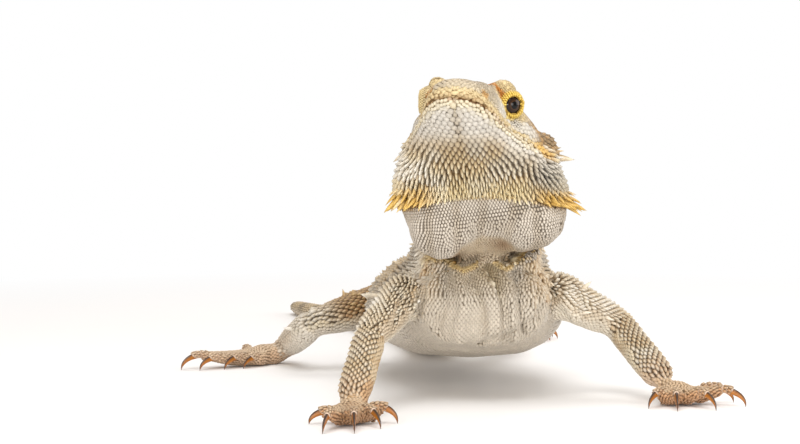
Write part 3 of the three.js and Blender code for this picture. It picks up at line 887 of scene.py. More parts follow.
def fill(roots):
    """Adds roots like their neighbours where a sheet leaves skin bare."""
    spots = np.concatenate([SKIN_POINTS, SKIN_POINTS[FACE_CORNERS].mean(1)])
    normals = np.concatenate([SKIN_NORMALS, SKIN_NORMALS[FACE_CORNERS].mean(1)])
    heads = in_head(spots)
    on_lips = (np.abs(mouth_offset(heads)) < 1.1) & (heads[:, 0] > 3.5)
    is_open = ~bare_spot(spots) & ~on_lips
    open_points, open_normals = spots[is_open], normals[is_open]
    for _ in range(FILL_ROUNDS):
        tree = search_tree(roots["point"])
        near = np.array([tree.find(point)[1:] for point in open_points.tolist()])
        index, gap = near[:, 0].astype(int), near[:, 1] / MM
        width = roots["width"][index]
        spots = np.nonzero(gap > BARE * width)[0]
        taken, chosen = {}, []
        for spot in spots[np.argsort(-gap[spots] / width[spots])]:
            point = open_points[spot]
            i, j, k = np.floor(point / (2.5 * MM)).astype(int)
            crowd = any(
                np.linalg.norm(other - point) < width[spot] * 0.85 * MM
                for a in (-1, 0, 1) for b in (-1, 0, 1) for c in (-1, 0, 1)
                for other in taken.get((i + a, j + b, k + c), ())
            )
            if not crowd:
                taken.setdefault((i, j, k), []).append(point)
                chosen.append(spot)
        if not chosen:
            break
        source = index[chosen]
        added = {name: values[source] for name, values in roots.items()}
        shift = (open_points[chosen] - added["point"]) / MM
        across = np.cross(added["lie"], open_normals[chosen])
        added["point"] = open_points[chosen]
        moved = [(shift * way).sum(1) for way in (added["lie"], across)]
        added["strip"] = added["strip"] + np.column_stack(moved)
        roots = joined(roots, added)
    return roots


COLLAR = np.array([(17, 26, 47.5), (43, 27, 50.5)])  # where the gular fold meets the shoulders


def comb(roots):
    """Turns the scales of the collar away from the ends of the gular fold."""
    where = own(roots["point"])
    away = where - COLLAR[(where[:, 0] > 29).astype(int)]
    reach = length_of(away)
    faces = [SKIN_TREE.find_nearest(point)[2] for point in roots["point"].tolist()]
    share = of_kind(roots, "chest", "neck", "back") * ramp(27, 15, reach) * (where[:, 1] < 56)
    share = share * ramp(0.15, -0.25, face_normals(faces)[:, 1])
    roots["lie"] = unit(mixed(roots["lie"], unit(away + (0, 0, -0.3 * reach.mean())), share))
    return roots


def settle(roots):
    """Pushes crowded roots apart a little, and puts them back on the skin with a smooth normal and lie."""
    for _ in range(SETTLE_ROUNDS):
        points = roots["point"]
        tree = search_tree(points)
        near = np.array([[j for _, j, _ in tree.find_n(point, NEIGHBOURS)] for point in points.tolist()])
        offset = points[:, None] - points[near]
        lie = roots["lie"][:, None]
        lengthwise = (offset * lie).sum(-1, keepdims=True)
        stretch = (roots["width"] * ROW / roots["row"])[:, None, None]
        distance = length_of(offset + lie * lengthwise * (stretch - 1))
        target = (roots["width"][:, None] + roots["width"][near]) / 2 * MM
        push = np.clip(1 - distance / target, 0, 0.6)
        push[:, 0] = 0
        points = points + 0.35 * (unit(offset) * (push * target)[..., None]).sum(1)
        found = [SKIN_TREE.find_nearest(point) for point in points.tolist()]
        faces = [hit[2] for hit in found]
        roots["point"] = np.array([hit[0] for hit in found])
        normal = face_normals(faces)
        normal = unit(normal + 0.5 * normal[near].mean(1))
        lie = unit(roots["lie"])
        lie = lie + 0.4 * lie[near].mean(1)
        lie = lie - normal * (lie * normal).sum(1)[:, None]
        roots["normal"], roots["lie"] = normal, unit(lie)
        roots["owner"] = FACE_OWNER[faces]
    return roots


# ---------------------------------------------------------------- the form of the scales
# Width and length as shares of their spacing; height, keel and tip lift in millimetres; how pointed, how
# flat, and how far the dark border reaches over the scale.
SHAPES = {
    "plate": (1.13, 1.5, 0.25, 0.0, 0.0, 0.05, 0.85, 0.34),
    "lip": (1.08, 1.55, 0.42, 0.0, 0.0, 0.0, 0.76, 0.3),
    "granule": (1.14, 1.6, 0.34, 0.04, 0.1, 0.15, 0.7, 0.55),
    "smooth": (1.12, 1.7, 0.28, 0.06, 0.22, 0.4, 0.78, 0.4),
    "keeled": (1.08, 1.95, 0.26, 0.42, 0.6, 0.85, 0.64, 0.95),
    "spiny": (0.95, 2.45, 0.28, 0.75, 1.6, 1.0, 0.58, 0.95),
    "toe": (1.12, 1.7, 0.24, 0.12, 0.2, 0.4, 0.76, 0.6),
}


def shape_of(roots):
    """One row of form values for each scale, blended between the regions of the body; enlarges a few."""
    rows = np.array([SHAPES[shape] for shape in SHAPE_OF.values()])[roots["kind"]]
    x, _, z = own(roots["point"]).T
    up = roots["normal"][:, 2]

    def towards(name, share, *kinds):
        nonlocal rows
        rows = mixed(rows, np.array(SHAPES[name]), share * of_kind(roots, *kinds))

    level = throat_level(x, z)
    towards("plate", ramp(83, 88, level), "throat")
    towards("keeled", ramp(88, 82, level), "chin")
    towards("spiny", ramp(82, 74, level), "chin", "throat")
    towards("spiny", ramp(12, 19, np.abs(x - THROAT_MIDDLE)) * ramp(88, 79, z), "chin", "throat")
    towards("keeled", ramp(8, -4, in_head(roots["point"])[:, 0]), "crown")
    towards("smooth", ramp(-0.1, -0.55, up), "tail")
    towards("smooth", roots["width"] < 1.5, *LIMB_PARTS)
    towards("spiny", (roots["width"] > 1.5) * 0.7, "upper_arm")
    towards("spiny", ramp(0.1, 0.6, up) * 0.6, "neck")
    towards("keeled", ramp(30, 40, z) * 0.6, "chest")
    under = ramp(0.1, -0.3, up)
    large = (cloud(roots["point"], 1.6, 5) > 0.7) & (under < 0.5)
    large = large & of_kind(roots, "back", "neck", "thigh", "upper_arm")
    towards("spiny", large * 0.9, *KINDS)
    towards("smooth", under, *LIMB_PARTS)
    roots["width"] = roots["width"] * (1 + 0.35 * large)
    return rows


CORNERS = 8
TURN = np.arange(CORNERS) * 2 * np.pi / CORNERS  # 0 is the tip
SINK = 0.22  # how far the rim of a scale lies under the skin, in millimetres
LONGEST = 1.15  # the most that a row may be longer than its scales are wide


def scale_points(roots, shape):
    """The corners of all scales across, along and above their roots: rim, shoulder and top; their size."""
    wide, long, height, keel, lift, point, flat, _ = shape.T[:, :, None]
    width = wide * roots["width"][:, None]
    length = long * np.minimum(roots["row"], LONGEST * roots["width"])[:, None]
    across, along = np.sin(TURN), np.cos(TURN)
    towards_tip = np.maximum(along, 0)
    rim = np.stack([
        0.5 * width * across * (1 - 0.32 * point * towards_tip),
        length * (0.5 * along + 0.16 * point * towards_tip**3),
        -SINK + (SINK + lift * 0.5) * towards_tip**2 * np.minimum(lift * 4, 1),
    ], -1)
    shoulder = np.stack([
        rim[..., 0] * flat,
        rim[..., 1] * flat,
        height + keel * along**2 * (0.55 + 0.45 * along) + lift * 0.42 * towards_tip,
    ], -1)
    top = np.stack([0 * width, 0.02 * length, height * 1.12 + keel * 0.8 + lift * 0.08], -1)
    return np.concatenate([rim, shoulder, top], 1), (width, length)


def scale_faces():
    """The faces of one scale: sides, top and underside."""
    faces = []
    for i in range(CORNERS):
        j = (i + 1) % CORNERS
        faces.append((i, i + CORNERS, j + CORNERS, j))
        faces.append((i + CORNERS, 2 * CORNERS, j + CORNERS))
    return [*faces, tuple(range(CORNERS))]


def tube_faces(sides, rings, pointed=False):
    """The faces of a closed tube of rings of corners, which ends in a last ring or in a single corner."""
    faces = [tuple(range(sides))[::-1]]
    for ring in range(rings - 1 + pointed):
        for i in range(sides):
            a, b = ring * sides + i, ring * sides + (i + 1) % sides
            faces.append((a, b, b + sides, a + sides) if ring < rings - 1 else (a, b, sides * rings))
    return faces if pointed else [*faces, tuple(range((rings - 1) * sides, rings * sides))]


THORN_SIDES = 6
THORN_RINGS = ((0.0, 1.0), (0.35, 0.8), (0.72, 0.42))  # place along, and share of the base radius


def thorn_points(lengths, radii, bend):
    """The corners of all spines across, along and above their roots, in millimetres."""
    turn = np.arange(THORN_SIDES) * 2 * np.pi / THORN_SIDES
    rings = []
    for share, girth in THORN_RINGS:
        height = lengths * share - 0.3 * (share == 0)
        rings.append(np.stack([
            radii[:, None] * girth * np.cos(turn),
            radii[:, None] * girth * np.sin(turn) + bend[:, None] * share**2,
            np.broadcast_to(height[:, None], (len(lengths), THORN_SIDES)),
        ], -1))
    tip = np.stack([0 * lengths, bend, lengths], -1)[:, None]
    return np.concatenate([*rings, tip], 1)


def paint(mesh, tints):
    """Stores the markings as a colour at each corner."""
    layer = mesh.color_attributes.new("marking", "FLOAT_COLOR", "POINT")
    layer.data.foreach_set("color", np.column_stack([tints, np.ones(len(tints))]).astype(np.float32).ravel())


def new_piece(name, mesh, material):
    mesh.materials.append(material)
    piece = bpy.data.objects.new(name, mesh)
    bpy.context.collection.objects.link(piece)
    return piece


def joined_mesh(name, points, faces, tints, uv, material):
    """One mesh of many like bodies. `points` and `tints` are by body and corner, `uv` too."""
    bodies, corners = points.shape[:2]
    sizes = np.array([len(face) for face in faces])
    pattern = np.concatenate([np.array(face) for face in faces])
    loops = (pattern[None] + np.arange(bodies)[:, None] * corners).ravel()
    starts = np.concatenate([[0], np.cumsum(np.tile(sizes, bodies))[:-1]])
    mesh = bpy.data.meshes.new(name)
    mesh.vertices.add(bodies * corners)
    mesh.loops.add(len(loops))
    mesh.polygons.add(len(starts))
    mesh.vertices.foreach_set("co", np.ascontiguousarray(points, np.float32).ravel())
    mesh.loops.foreach_set("vertex_index", loops.astype(np.int32))
    mesh.polygons.foreach_set("loop_start", starts.astype(np.int32))
    mesh.polygons.foreach_set("use_smooth", np.ones(len(starts), bool))
    mesh.update(calc_edges=True)
    paint(mesh, tints.reshape(-1, 3))
    layer = mesh.uv_layers.new(name="OFBake")
    layer.data.foreach_set("uv", np.ascontiguousarray(uv.reshape(-1, 2)[loops], np.float32).ravel())
    return new_piece(name, mesh, material)


# ---------------------------------------------------------------- the markings
CREAM = colour("e6dfd3")


def markings(points, normals, owners):
    """The colours of the scales' middles, edges and tips at points on the skin, laid on in washes."""
    part = PART_OF[owners]
    tints = [np.broadcast_to(CREAM * share, points.shape) for share in (1, 0.5, 1)]

    def on(*parts):
        return np.isin(part, parts).astype(float)

    def lumps(size, seed):
        return cloud(points, size, seed)

    def wash(share, codes):
        for layer, code in enumerate(codes.split() if isinstance(codes, str) else codes):
            tint = colour(code) if isinstance(code, str) else code
            tints[layer] = mixed(tints[layer], tint, np.clip(share, 0, 1))

    for lay in (body_tints, limb_tints, head_tints, jaw_tints):
        lay(points, normals, on, lumps, wash)
    return tints


def body_tints(points, normals, on, lumps, wash):
    """Sandy back mottled with grey, a dark net on the flanks, pale below; banded tail."""
    x, y, z = own(points).T
    blotch = lumps(9, 1) * 0.6 + lumps(4, 2) * 0.4
    tail = on(*TAIL_PARTS)
    trunk = on("trunk", "neck")
    body = trunk + tail
    above = ramp(-0.3, 0.5, normals[:, 2])
    wash(body * above, "c9ad82 6a5638 eadcc0")
    axis_x, axis_y, _ = np.array(AXES["trunk"]).T
    aside = np.abs(x - np.interp(y, axis_y, axis_x))
    wavy = y + 3 * (blotch - 0.5) + 0.12 * aside
    saddles = ramp(-0.1, 0.5, waves(wavy - 40, 19)) * ramp(21, 15, aside)
    wash(body * above * saddles * 0.75, "86745c 4a3e2c b9a888")
    wash(body * above * ramp(0.5, 0.64, blotch) * 0.7, "7d7265 433c33 b5a994")
    pale = hump(8.5, 3.2, aside) * ramp(0.1, 0.6, waves(wavy - 49.5, 19))
    wash(body * above * pale * 0.8, "dcc8a2 8a7450 f0e4ca")
    flank = body * hump(0.05, 0.5, normals[:, 2]) * ramp(40, 50, y)
    wash(flank * (0.2 + 0.5 * ramp(0.35, 0.55, lumps(2.2, 4))), "a59b8c 4f473d faf4e8")
    shoulder = body * ramp(12, 18, np.abs(x - 27)) * ramp(62, 52, y) * ramp(28, 36, z)
    wash(shoulder * ramp(27, 30, x) * 0.85, "e4c99c 8d6233 fcf2dc")
    wash(shoulder * ramp(27, 24, x) * 0.9, "efe2ca 93805f fffaf0")
    wash(body * ramp(-0.05, -0.5, normals[:, 2]), "cfc4b4 8b7e6b e2dacd")
    wash(tail * (0.4 + 0.6 * above), "e0c8a0 7d6b50 f1e3c6")
    wash(tail * above * ramp(0.1, 0.7, waves(y, 19)) * 0.6, "857765 4d453b a89a84")
    # the breast under the gular fold, and the yellow edge of the fold itself; painted light on the collar and
    # painted shade under the fold's peak
    ahead = -normals[:, 1]
    breast = trunk * ramp(0.1, 0.45, ahead) * ramp(56, 44, y)
    wash(breast, "d5cab9 766750 ece5d8")
    wash(breast * ramp(33, 45, z) * ramp(0.3, 0.6, lumps(7, 8)) * 0.45, "c4ad88 71603f eedfbf")
    # the collar's pale colour is partly its own and partly painted light, raised to offset the shade that the
    # pouch casts on it
    collar = breast * ramp(12, 19, np.abs(x - 27)) * ramp(30, 44, z)
    wash(collar * 0.9, "efdab4 9d7441 fff8e6")
    over = z - gular_fold(x)
    throat = trunk * ramp(52, 46, y) * ramp(23, 20, np.abs(x - 28))
    wash(throat * ramp(0.6, 1.6, over) * 0.8, "b7a387 7a6750 cbbba2")
    rim = ramp(22, 25, y) * ramp(46, 42, y) * ramp(24, 22, np.abs(x - 28)) * ramp(0, 0.2, ahead)
    wash(rim * hump(-0.4, 0.8, over) * 1.2, "ead39a a67c3a f7ebc8")
    # painted shade: a dark tan wedge under the middle peak of the gular fold, where the fold overhangs the
    # chest
    shade_under_peak = rim * hump(29.5, 3.5 + 0.1 * (48 - z), x) * ramp(47.5, 45, z) * ramp(26, 36, z)
    wash(shade_under_peak * 0.75, "ab9872 6a5634 cdbd98")


def head_tints(points, normals, on, lumps, wash):
    """Cream snout, white strip and yellow lids round the eye, grey-brown crown and temples."""
    heads = in_head(points)
    forward, left, _ = heads.T
    blotch = lumps(5, 1)
    fleck = ramp(0.45, 0.65, lumps(2.0, 4))
    mouth = mouth_offset(heads)
    head = on("head")
    wash(head, "d8c8aa 6f5f49 ebe1cc")
    crown = head * ramp(0.45, 0.85, normals @ HEAD[2])
    wash(crown * (0.6 + 0.4 * blotch), "a39176 4d4131 c4b498")
    wash(head * ramp(0.5, 0.68, blotch) * 0.6, "94836c 4a4034")
    temple = head * ramp(17, 9, forward) * ramp(2, 4, mouth)
    wash(temple, "bd9763 5f4425 e2cb9f")
    wash(temple * fleck * 0.7, "86704f 43351f b5a07a")
    snout = head * ramp(24, 32, forward) * (1 - 0.7 * crown)
    wash(snout * 0.75, "d2c3a7 54452f e6dbc5")
    wash(snout * fleck * ramp(4, 7, mouth) * 0.7, "ab9b84 5f5444")
    strip = ramp(7.4, 6.4, mouth) * ramp(1.7, 2.5, mouth) * ramp(6, 12, forward) * ramp(31, 27, forward)
    before = hump(28.2, 2.6, forward) * ramp(9.5, 8, mouth) * ramp(2.4, 3.4, mouth)
    wash(head * np.maximum(strip, before) * 0.85, "dfdad0 8e8675 ebe7df")
    lips = on("head", "jaw") * ramp(2, 5, forward) * ramp(3.4, 2.2, mouth) * ramp(-0.4, 0.2, mouth)
    wash(lips * 0.8, "e0cb98 977036 eeddb2")
    for way, lid in ((-1, "e6d4a4 b0945c f7e29a"), (1, "ecd05e b58a30 f7e29a")):
        distance, _, rim = around_eye(points, way)
        beside_eye = head * (left * way > 0)
        wash(beside_eye * ramp(9, 7, distance) * ramp(5.5, 6.5, mouth) * 0.55, "e7cd8a 8f7340 f1dfae")
        # the orange band before the eye, up over the brow
        start, end = np.array([(26, way * 7, 12.3), (26.4, way * 12, 7.9)])
        reach = end - start
        share = np.clip((heads - start) @ reach / (reach @ reach), 0, 1)
        from_band = length_of(heads - start - share[:, None] * reach)
        wash(beside_eye * ramp(1.9, 1.1, from_band), "c47d22 7c4a14 dca04a")
        wash(head * ramp(1.5, 1.32, rim) * ramp(7, 6.2, distance), lid)
    hole = from_nostril(heads)
    wash(head * ramp(1.9, 1.1, hole) * 0.8, "d9ab5e a06a24 ecc987")
    # painted shade: dark brown inside the nostril
    wash(head * ramp(1.1, 0.7, hole), "6a3d18 4a2a12 6a3d18")


def jaw_tints(points, normals, on, lumps, wash):
    """Pale plates under the chin, brown-edged pointed scales on the throat, a yellow fringe, a grey pouch;
    painted shade behind the jaw's corner and in the pouch's folds and hollows.
    """
    x, y, z = own(points).T
    heads = in_head(points)
    forward, left, _ = heads.T
    mouth = mouth_offset(heads)
    blotch = lumps(7, 1)
    jaw = on("jaw", "beard")
    wash(jaw, "dfd9ce 695f51 ebe6dd")
    wash(jaw * ramp(0.4, 0.7, blotch) * 0.35, "c9c0b2 7a705f")
    groove = jaw * hump(0, 1.6, left) * ramp(100, 94, z) * ramp(0.2, 0.6, -(normals @ HEAD[2]))
    wash(groove * 0.5, "b9a684 4f3d26")
    throat = jaw * ramp(90, 81, throat_level(x, z))
    # the throat scales' very dark edge colour is partly their own brown edging and partly painted shade on
    # their sides and in the gaps between them
    wash(throat * 0.9, "dccaa6 3e290c fff8e6")
    wash(throat * ramp(16, 5, x) * 0.75, "e6ddce a29479 faf5ea")
    wash(throat * ramp(0.35, 0.65, lumps(6, 9)) * 0.6, "c0994f 5d3f14 f3e0ab")
    wash(throat * ramp(35, 47, x + 8 * (blotch - 0.5)) * 0.75, "a39b90 37322c f0e9dc")
    over = z - fringe_height(x)
    aside = ramp(12, 22, np.abs(x - THROAT_MIDDLE))
    wash(jaw * ramp(6.5, 2.5, over) * ramp(-3, -1, over) * 0.45, "c3aa72 44331c f6e4ae")
    frill = on("jaw", "beard", "neck") * ramp(50, 44, y) * ramp(6, 3, over) * ramp(-4, -2, over)
    corner = frill * aside * ramp(-0.3, 0.45, lumps(1.8, 10))
    wash(corner, "9f7634 3e2b0e efc668")
    wash(corner * ramp(38, 46, x) * 0.5, "7d5a28 2c1e0c dfb763")
    # painted shadow: dark grey on the left side just above the fringe, behind the corner of the jaw, between
    # the beard's edge and the neck
    shadow_behind_jaw = jaw * ramp(40, 48, x) * ramp(1.5, 4, over) * ramp(80, 74, z)
    wash(shadow_behind_jaw * 0.85, "6b645b 34302a e3d8c0")
    pouch = jaw * ramp(-0.8, -2, over + 1.6 * aside)
    wash(pouch, "e1d7c8 64543f f1ebe0")
    # painted shade: darker in the valleys of the pouch's upright folds
    wash(pouch * ramp(0.1, 0.9, pouch_waves(points, x)) * 0.45, "b9a88f 4f4130 d9cdb8")
    wash(pouch * ramp(0.4, 0.7, blotch) * ramp(24, 40, x + 10 * blotch) * 0.6, "bfb09a 584a36")
    inside = pouch * ramp(0.8, -1.0, z - pouch_arch(x)) * ramp(14, 11, np.abs(x - 27.5))
    wash(inside * 0.6, "dcc8a8 8f7652 e6d6ba")
    # painted shade: dark brown patches in the hollows at both ends of the arch
    hollow = inside * np.maximum(hump(17, 3, x) * hump(49, 3, z), hump(33, 3.5, x) * hump(53, 2.5, z))
    wash(hollow * 0.7, "94704c 5b3f25 ae8a62")
    wash(jaw * ramp(5, 9, forward) * ramp(-2.6, -1.2, mouth) * 0.6, "eadcb4 a4884e")
    seam = on("head", "jaw") * ramp(1.5, 5, forward) * hump(0, 0.42, mouth)
    gold = mixed(colour("d9a142"), colour("9c5f28"), ramp(16, 30, forward))
    wash(seam * 1.3, (gold, "7d4f20", "c98a3a"))
    hinge = length_of((on_one_side(heads) - (6.5, 23, 1.2)) / (6.5, 4.5, 2.6))
    wash(on("head", "jaw", "beard") * ramp(1.25, 0.5, hinge) * 0.85, "e3b857 b08038 f3d992")


def limb_tints(points, normals, on, lumps, wash):
    """Cream scales edged with tan and olive above, plain below; warm brown thighs; pinkish paws, darker near
    the floor as painted shade.
    """
    where = own(points)
    up = normals[:, 2]
    above = ramp(-0.75, -0.1, up)
    uppermost = ramp(0.25, 0.75, up)
    blotch = lumps(6, 1)
    upper, paw = on("upper_arm"), on("hand", "foot")
    legs = paw + on(*LIMB_PARTS)
    from_knee, from_wrist = (
        np.min([length_of(where - limb[joint]) for limb in limbs], 0)
        for limbs, joint in ((LEGS, 1), (ARMS + LEGS, 2))
    )
    wash(legs, "dcd2c2 8c7b62 ebe4d8")
    wash(legs * above, "e4d5b6 4f3915 fdf8ec")
    wash(upper * (0.75 - 0.5 * uppermost), "f4ecda a08a68 fffcf4")
    wash(legs * (1 - 0.4 * upper) * above * ramp(0.42, 0.6, blotch) * 0.75, "b68e5a 432d10 eedfba")
    streak = on("upper_arm", "forearm") * uppermost * ramp(0.3, 0.55, lumps(4.5, 7))
    wash(streak * 0.7, "b8935f 4a3315 f1e2c3")
    wash(on("shank") * 0.55, "f6efe2 a89a84 fffcf5")
    wash(on("thigh") * ramp(-0.5, 0.1, up) * ramp(3, 15, from_knee) * 0.9, "9a6a33 45290d d6b680")
    wash(on("forearm") * ramp(10, -10, where[:, 0]) * above * 0.4, "cba168 4a3010 f6e5bf")
    pink = paw * (0.5 + 0.5 * ramp(3, 9, from_wrist)) + on("forearm", "shank") * 0.5 * ramp(10, 3, from_wrist)
    wash(pink, "dba97a 5c3717 f5e0c4")
    wash(pink * ramp(0.2, 0.8, up) * 0.6, "e0cba8 57421f f8efdd")
    wash(pink * ramp(0.5, 0.7, blotch) * 0.5, "ac8356 4f3317")
    # painted shade: the paws darken towards the floor that they rest on
    wash(paw * ramp(3.2, 1, where[:, 2]) * 0.6, "a97650 4c2c14")
    wash(on("foot") * 0.5, "f1dabd 80603e fbf0e0")


# ---------------------------------------------------------------- materials
def new_node(tree, kind, links=None, **settings):
    """Adds a shader node with its settings, and links {input: node, socket or value} into it."""
    node = tree.nodes.new("ShaderNode" + kind)
    for name, value in settings.items():
        setattr(node, name, value)
    for name, source in (links or {}).items():
        if isinstance(source, bpy.types.Node):
            source = source.outputs[0]
        if isinstance(source, bpy.types.NodeSocket):
            tree.links.new(source, node.inputs[name])
        else:
            node.inputs[name].default_value = source
    return node


def bare_material(name):
    material = bpy.data.materials.new(name)
    material.use_nodes = True
    material.node_tree.nodes.clear()
    return material, material.node_tree


def end_in(tree, settings):
    """Ends a material's nodes in one principled shader."""
    new_node(tree, "OutputMaterial", {"Surface": new_node(tree, "BsdfPrincipled", settings)})


def painted(tree, scale, detail, shades):
    """The painted markings, darker and lighter by a fine grain, and the grain itself."""
    marking = new_node(tree, "Attribute", attribute_name="marking")
    where = new_node(tree, "TexCoord").outputs["Object"]
    grain = new_node(tree, "TexNoise", {"Vector": where, "Scale": scale, "Detail": detail})
    shade = new_node(tree, "MapRange", {"Value": grain, **shades})
    return new_node(tree, "VectorMath", {0: marking, "Scale": shade}, operation="SCALE"), grain


def hide_material(name, tone, roughness, grain_size, bump):
    """Dead-matt horn over skin: the painted markings, cut by a fine grain and a little relief.

    `tone` darkens the markings, `grain_size` is the size of the relief and `bump` its height, in millimetres.
    """
    material, tree = bare_material(name)
    shades = {"From Min": 0.3, "From Max": 0.7, "To Min": tone * 0.86, "To Max": tone * 1.06}
    tinted, grain = painted(tree, 1 / (grain_size * MM), 3.0, shades)
    relief = new_node(tree, "Bump", {"Height": grain, "Distance": bump * MM, "Strength": 0.6})
    end_in(tree, {"Base Color": tinted, "Roughness": roughness, "IOR": 1.5, "Normal": relief})
    return material


def claw_material():
    """Translucent-looking horn: amber sides, a dark ridge and tip painted on, polished by wear."""
    material, tree = bare_material("claw_horn")
    tinted, _ = painted(tree, 900.0, 2.0, {"To Min": 0.75, "To Max": 1.2})
    end_in(tree, {
        "Base Color": tinted, "Roughness": 0.3, "IOR": 1.55,
        "Subsurface Weight": 0.15, "Subsurface Radius": (0.0012, 0.0006, 0.0002), "Subsurface Scale": 1.0,
    })
    return material


IRIS = 3.2  # radius, in millimetres
# The eye's colours from the middle of the pupil, through a thin gold ring, to the edge of the iris.
IRIS_STOPS = ((0.0, "050404"), (0.40, "050404"), (0.45, "4a3018"), (0.50, "35200f"), (0.72, "24150d"),
              (0.9, "120d0b"), (1.0, "0a0706"))


def eye_material(side, centre, turn):
    """A wet eye: black pupil and dark brown iris, under a clear glossy cornea."""
    material, tree = bare_material(f"wet_cornea_{side}")
    where = new_node(tree, "TexCoord").outputs["Object"]
    spot = new_node(tree, "Mapping", {"Vector": where, "Location": centre, "Rotation": turn.to_euler()},
                    vector_type="TEXTURE")
    parts = new_node(tree, "SeparateXYZ", {"Vector": spot})
    flat = new_node(tree, "CombineXYZ", {"X": parts.outputs["X"], "Y": parts.outputs["Y"]})
    radius = new_node(tree, "VectorMath", {0: flat}, operation="LENGTH").outputs["Value"]
    share = new_node(tree, "Math", {0: radius, 1: IRIS * MM}, operation="DIVIDE")
    streaks = new_node(tree, "TexNoise", {"Vector": spot, "Scale": 1400.0})
    wobble = new_node(tree, "Math", {0: streaks, 1: 0.06, 2: share}, operation="MULTIPLY_ADD")
    ring = new_node(tree, "ValToRGB", {"Fac": wobble})
    stops = ring.color_ramp.elements
    while len(stops) < len(IRIS_STOPS):
        stops.new(0.5)
    for stop, (position, tint) in zip(stops, IRIS_STOPS):
        stop.position = position
        stop.color = (*colour(tint), 1)
    end_in(tree, {
        "Base Color": ring, "Roughness": 0.5, "Specular IOR Level": 0.0,
        "Coat Weight": 1.0, "Coat Roughness": 0.02, "Coat IOR": 1.34,
    })
    return material


# the skin's tone of 0.62 darkens it: partly its own darker colour and partly painted shade in the gaps
# between scales
HIDE = hide_material("soft_hide", 0.62, 0.7, 0.5, 0.08)
HORN = hide_material("scale_keratin", 1.0, 0.48, 0.45, 0.05)
CLAW = claw_material()


# ---------------------------------------------------------------- eyes and claws
def make_eye(way):
    """An eyeball with a bulging cornea, facing along its gaze."""
    side = SIDES[way > 0]
    centre, gaze, _, _ = gaze_axes(way)
    centre = from_head(centre)
    turn = Vector(gaze @ HEAD).to_track_quat("Z", "Y")
    bpy.ops.object.select_all(action="DESELECT")
    bpy.ops.mesh.primitive_uv_sphere_add(segments=48, ring_count=32, radius=EYE_RADIUS * MM)
    eye = bpy.context.object
    eye.name = eye.data.name = f"eyeball_{side}"
    points = points_of(eye.data)
    angle = np.degrees(np.arccos(np.clip(unit(points)[:, 2], -1, 1)))
    points *= (1 + 0.05 * hump(0, 24, angle))[:, None]
    set_points(eye.data, points @ np.array(turn.to_matrix()).T + centre)
    bpy.ops.object.shade_smooth()
    eye.data.materials.append(eye_material(side, Vector(centre), turn))
    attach(eye, "root")
    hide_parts(f"eye_{side}")


CLAW_SIDES = 12
CLAW_TURN = np.arange(CLAW_SIDES)[:, None] * 2 * np.pi / CLAW_SIDES
CLAW_RINGS = 14
CLAW_START = -1.5  # where a claw begins inside its toe, before its base, in millimetres
AMBER, CLAW_DARK = colour("ad6a1d"), colour("210f08")
# The sheath's rings: place along the claw and girth. It ends in a small hollow lip round the claw.
SHEATH_RINGS = ((-0.35, 0.55), (-0.25, 0.9), (-0.05, 1.05), (0.12, 1.04), (0.24, 0.95), (0.29, 0.7),
                (0.26, 0.5))
SHEATH_SIZE = (1.02, 1.25)  # half width and half height, in millimetres


def claw_frame(node, share, start=0.0):
    """Middle, sideways, outward and forward direction of a down-curved claw, at a share of its length."""
    base, tip = claw_ends(node)
    reach = length_of((tip - base) * (1, 1, 0))
    outward = (tip - base) * (1, 1, 0) / reach
    level, down = np.cos(share * np.pi / 2), np.sin(share * np.pi / 2)
    height = (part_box(node)[1].z - 1.5 * MM) * level**0.9
    middle = base * (1, 1, 0) + outward * (start + down * (reach - start)) + (0, 0, height)
    crown = outward * down + (0, 0, level)
    return middle, np.cross(outward, (0, 0, 1)), crown, outward * level - (0, 0, down)


def sheath_of(node):
    """The fleshy sheath round the root of a claw, as rings of points."""
    rings = []
    for share, girth in SHEATH_RINGS:
        middle, beside, crown, _ = claw_frame(node, share)
        spoke = np.cos(CLAW_TURN) * beside * SHEATH_SIZE[0] + np.sin(CLAW_TURN) * crown * SHEATH_SIZE[1]
        rings.append(over_floor(middle + spoke * girth * MM, 0.1))
    return np.concatenate(rings)


def sheath_roots(nodes):
    """Roots of the small scales over the claws' sheaths."""
    found = []
    for number, node in enumerate(nodes):
        paw = FLESH.index("_".join(node.split("_")[1:3]))
        for ring, share in enumerate((-0.2, -0.06, 0.08, 0.2)):
            middle, beside, crown, ahead = claw_frame(node, share)
            for turn in np.radians(np.arange(-110, 111, 44) + 22 * (ring % 2)):
                spoke = np.sin(turn) * beside * SHEATH_SIZE[0] + np.cos(turn) * crown * SHEATH_SIZE[1]
                point = middle + spoke * MM * 0.98
                found.append((*point, *ahead, *unit(spoke), ring, turn + 6 * number, paw, 1000 + number))
    found = np.array(found)
    same = np.ones(len(found))
    return {
        "point": found[:, :3], "lie": found[:, 3:6], "normal": found[:, 6:9], "strip": found[:, 9:11],
        "owner": found[:, 11].astype(int), "which": found[:, 12].astype(int),
        "width": 0.95 * same, "row": 0.95 * same, "kind": np.full(len(found), KINDS.index("toe")),
    }


def make_sheaths(nodes):
    """All the sheaths as one piece, tinted like the paws and paler towards the claw."""
    bodies = np.array([sheath_of(node) for node in nodes])
    rings = len(SHEATH_RINGS)
    share = np.repeat(np.linspace(0, 1, rings), CLAW_SIDES)
    tints = mixed(colour("b8977a"), colour("e0c8b2"), share)
    tints = np.broadcast_to(tints, (len(nodes), *tints.shape))
    numbers = np.arange(len(nodes))
    corner = np.stack([np.tile(np.arange(CLAW_SIDES) / CLAW_SIDES, rings), share], -1)
    uv = np.stack([numbers % 5, numbers // 5], -1)[:, None] / 5 + 0.1 + corner[None] * PATCH
    piece = joined_mesh("claw_sheaths", bodies, tube_faces(CLAW_SIDES, rings), tints, uv, HORN)
    edit(piece, bpy.ops.mesh.normals_make_consistent, inside=False)
    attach(piece, "root")


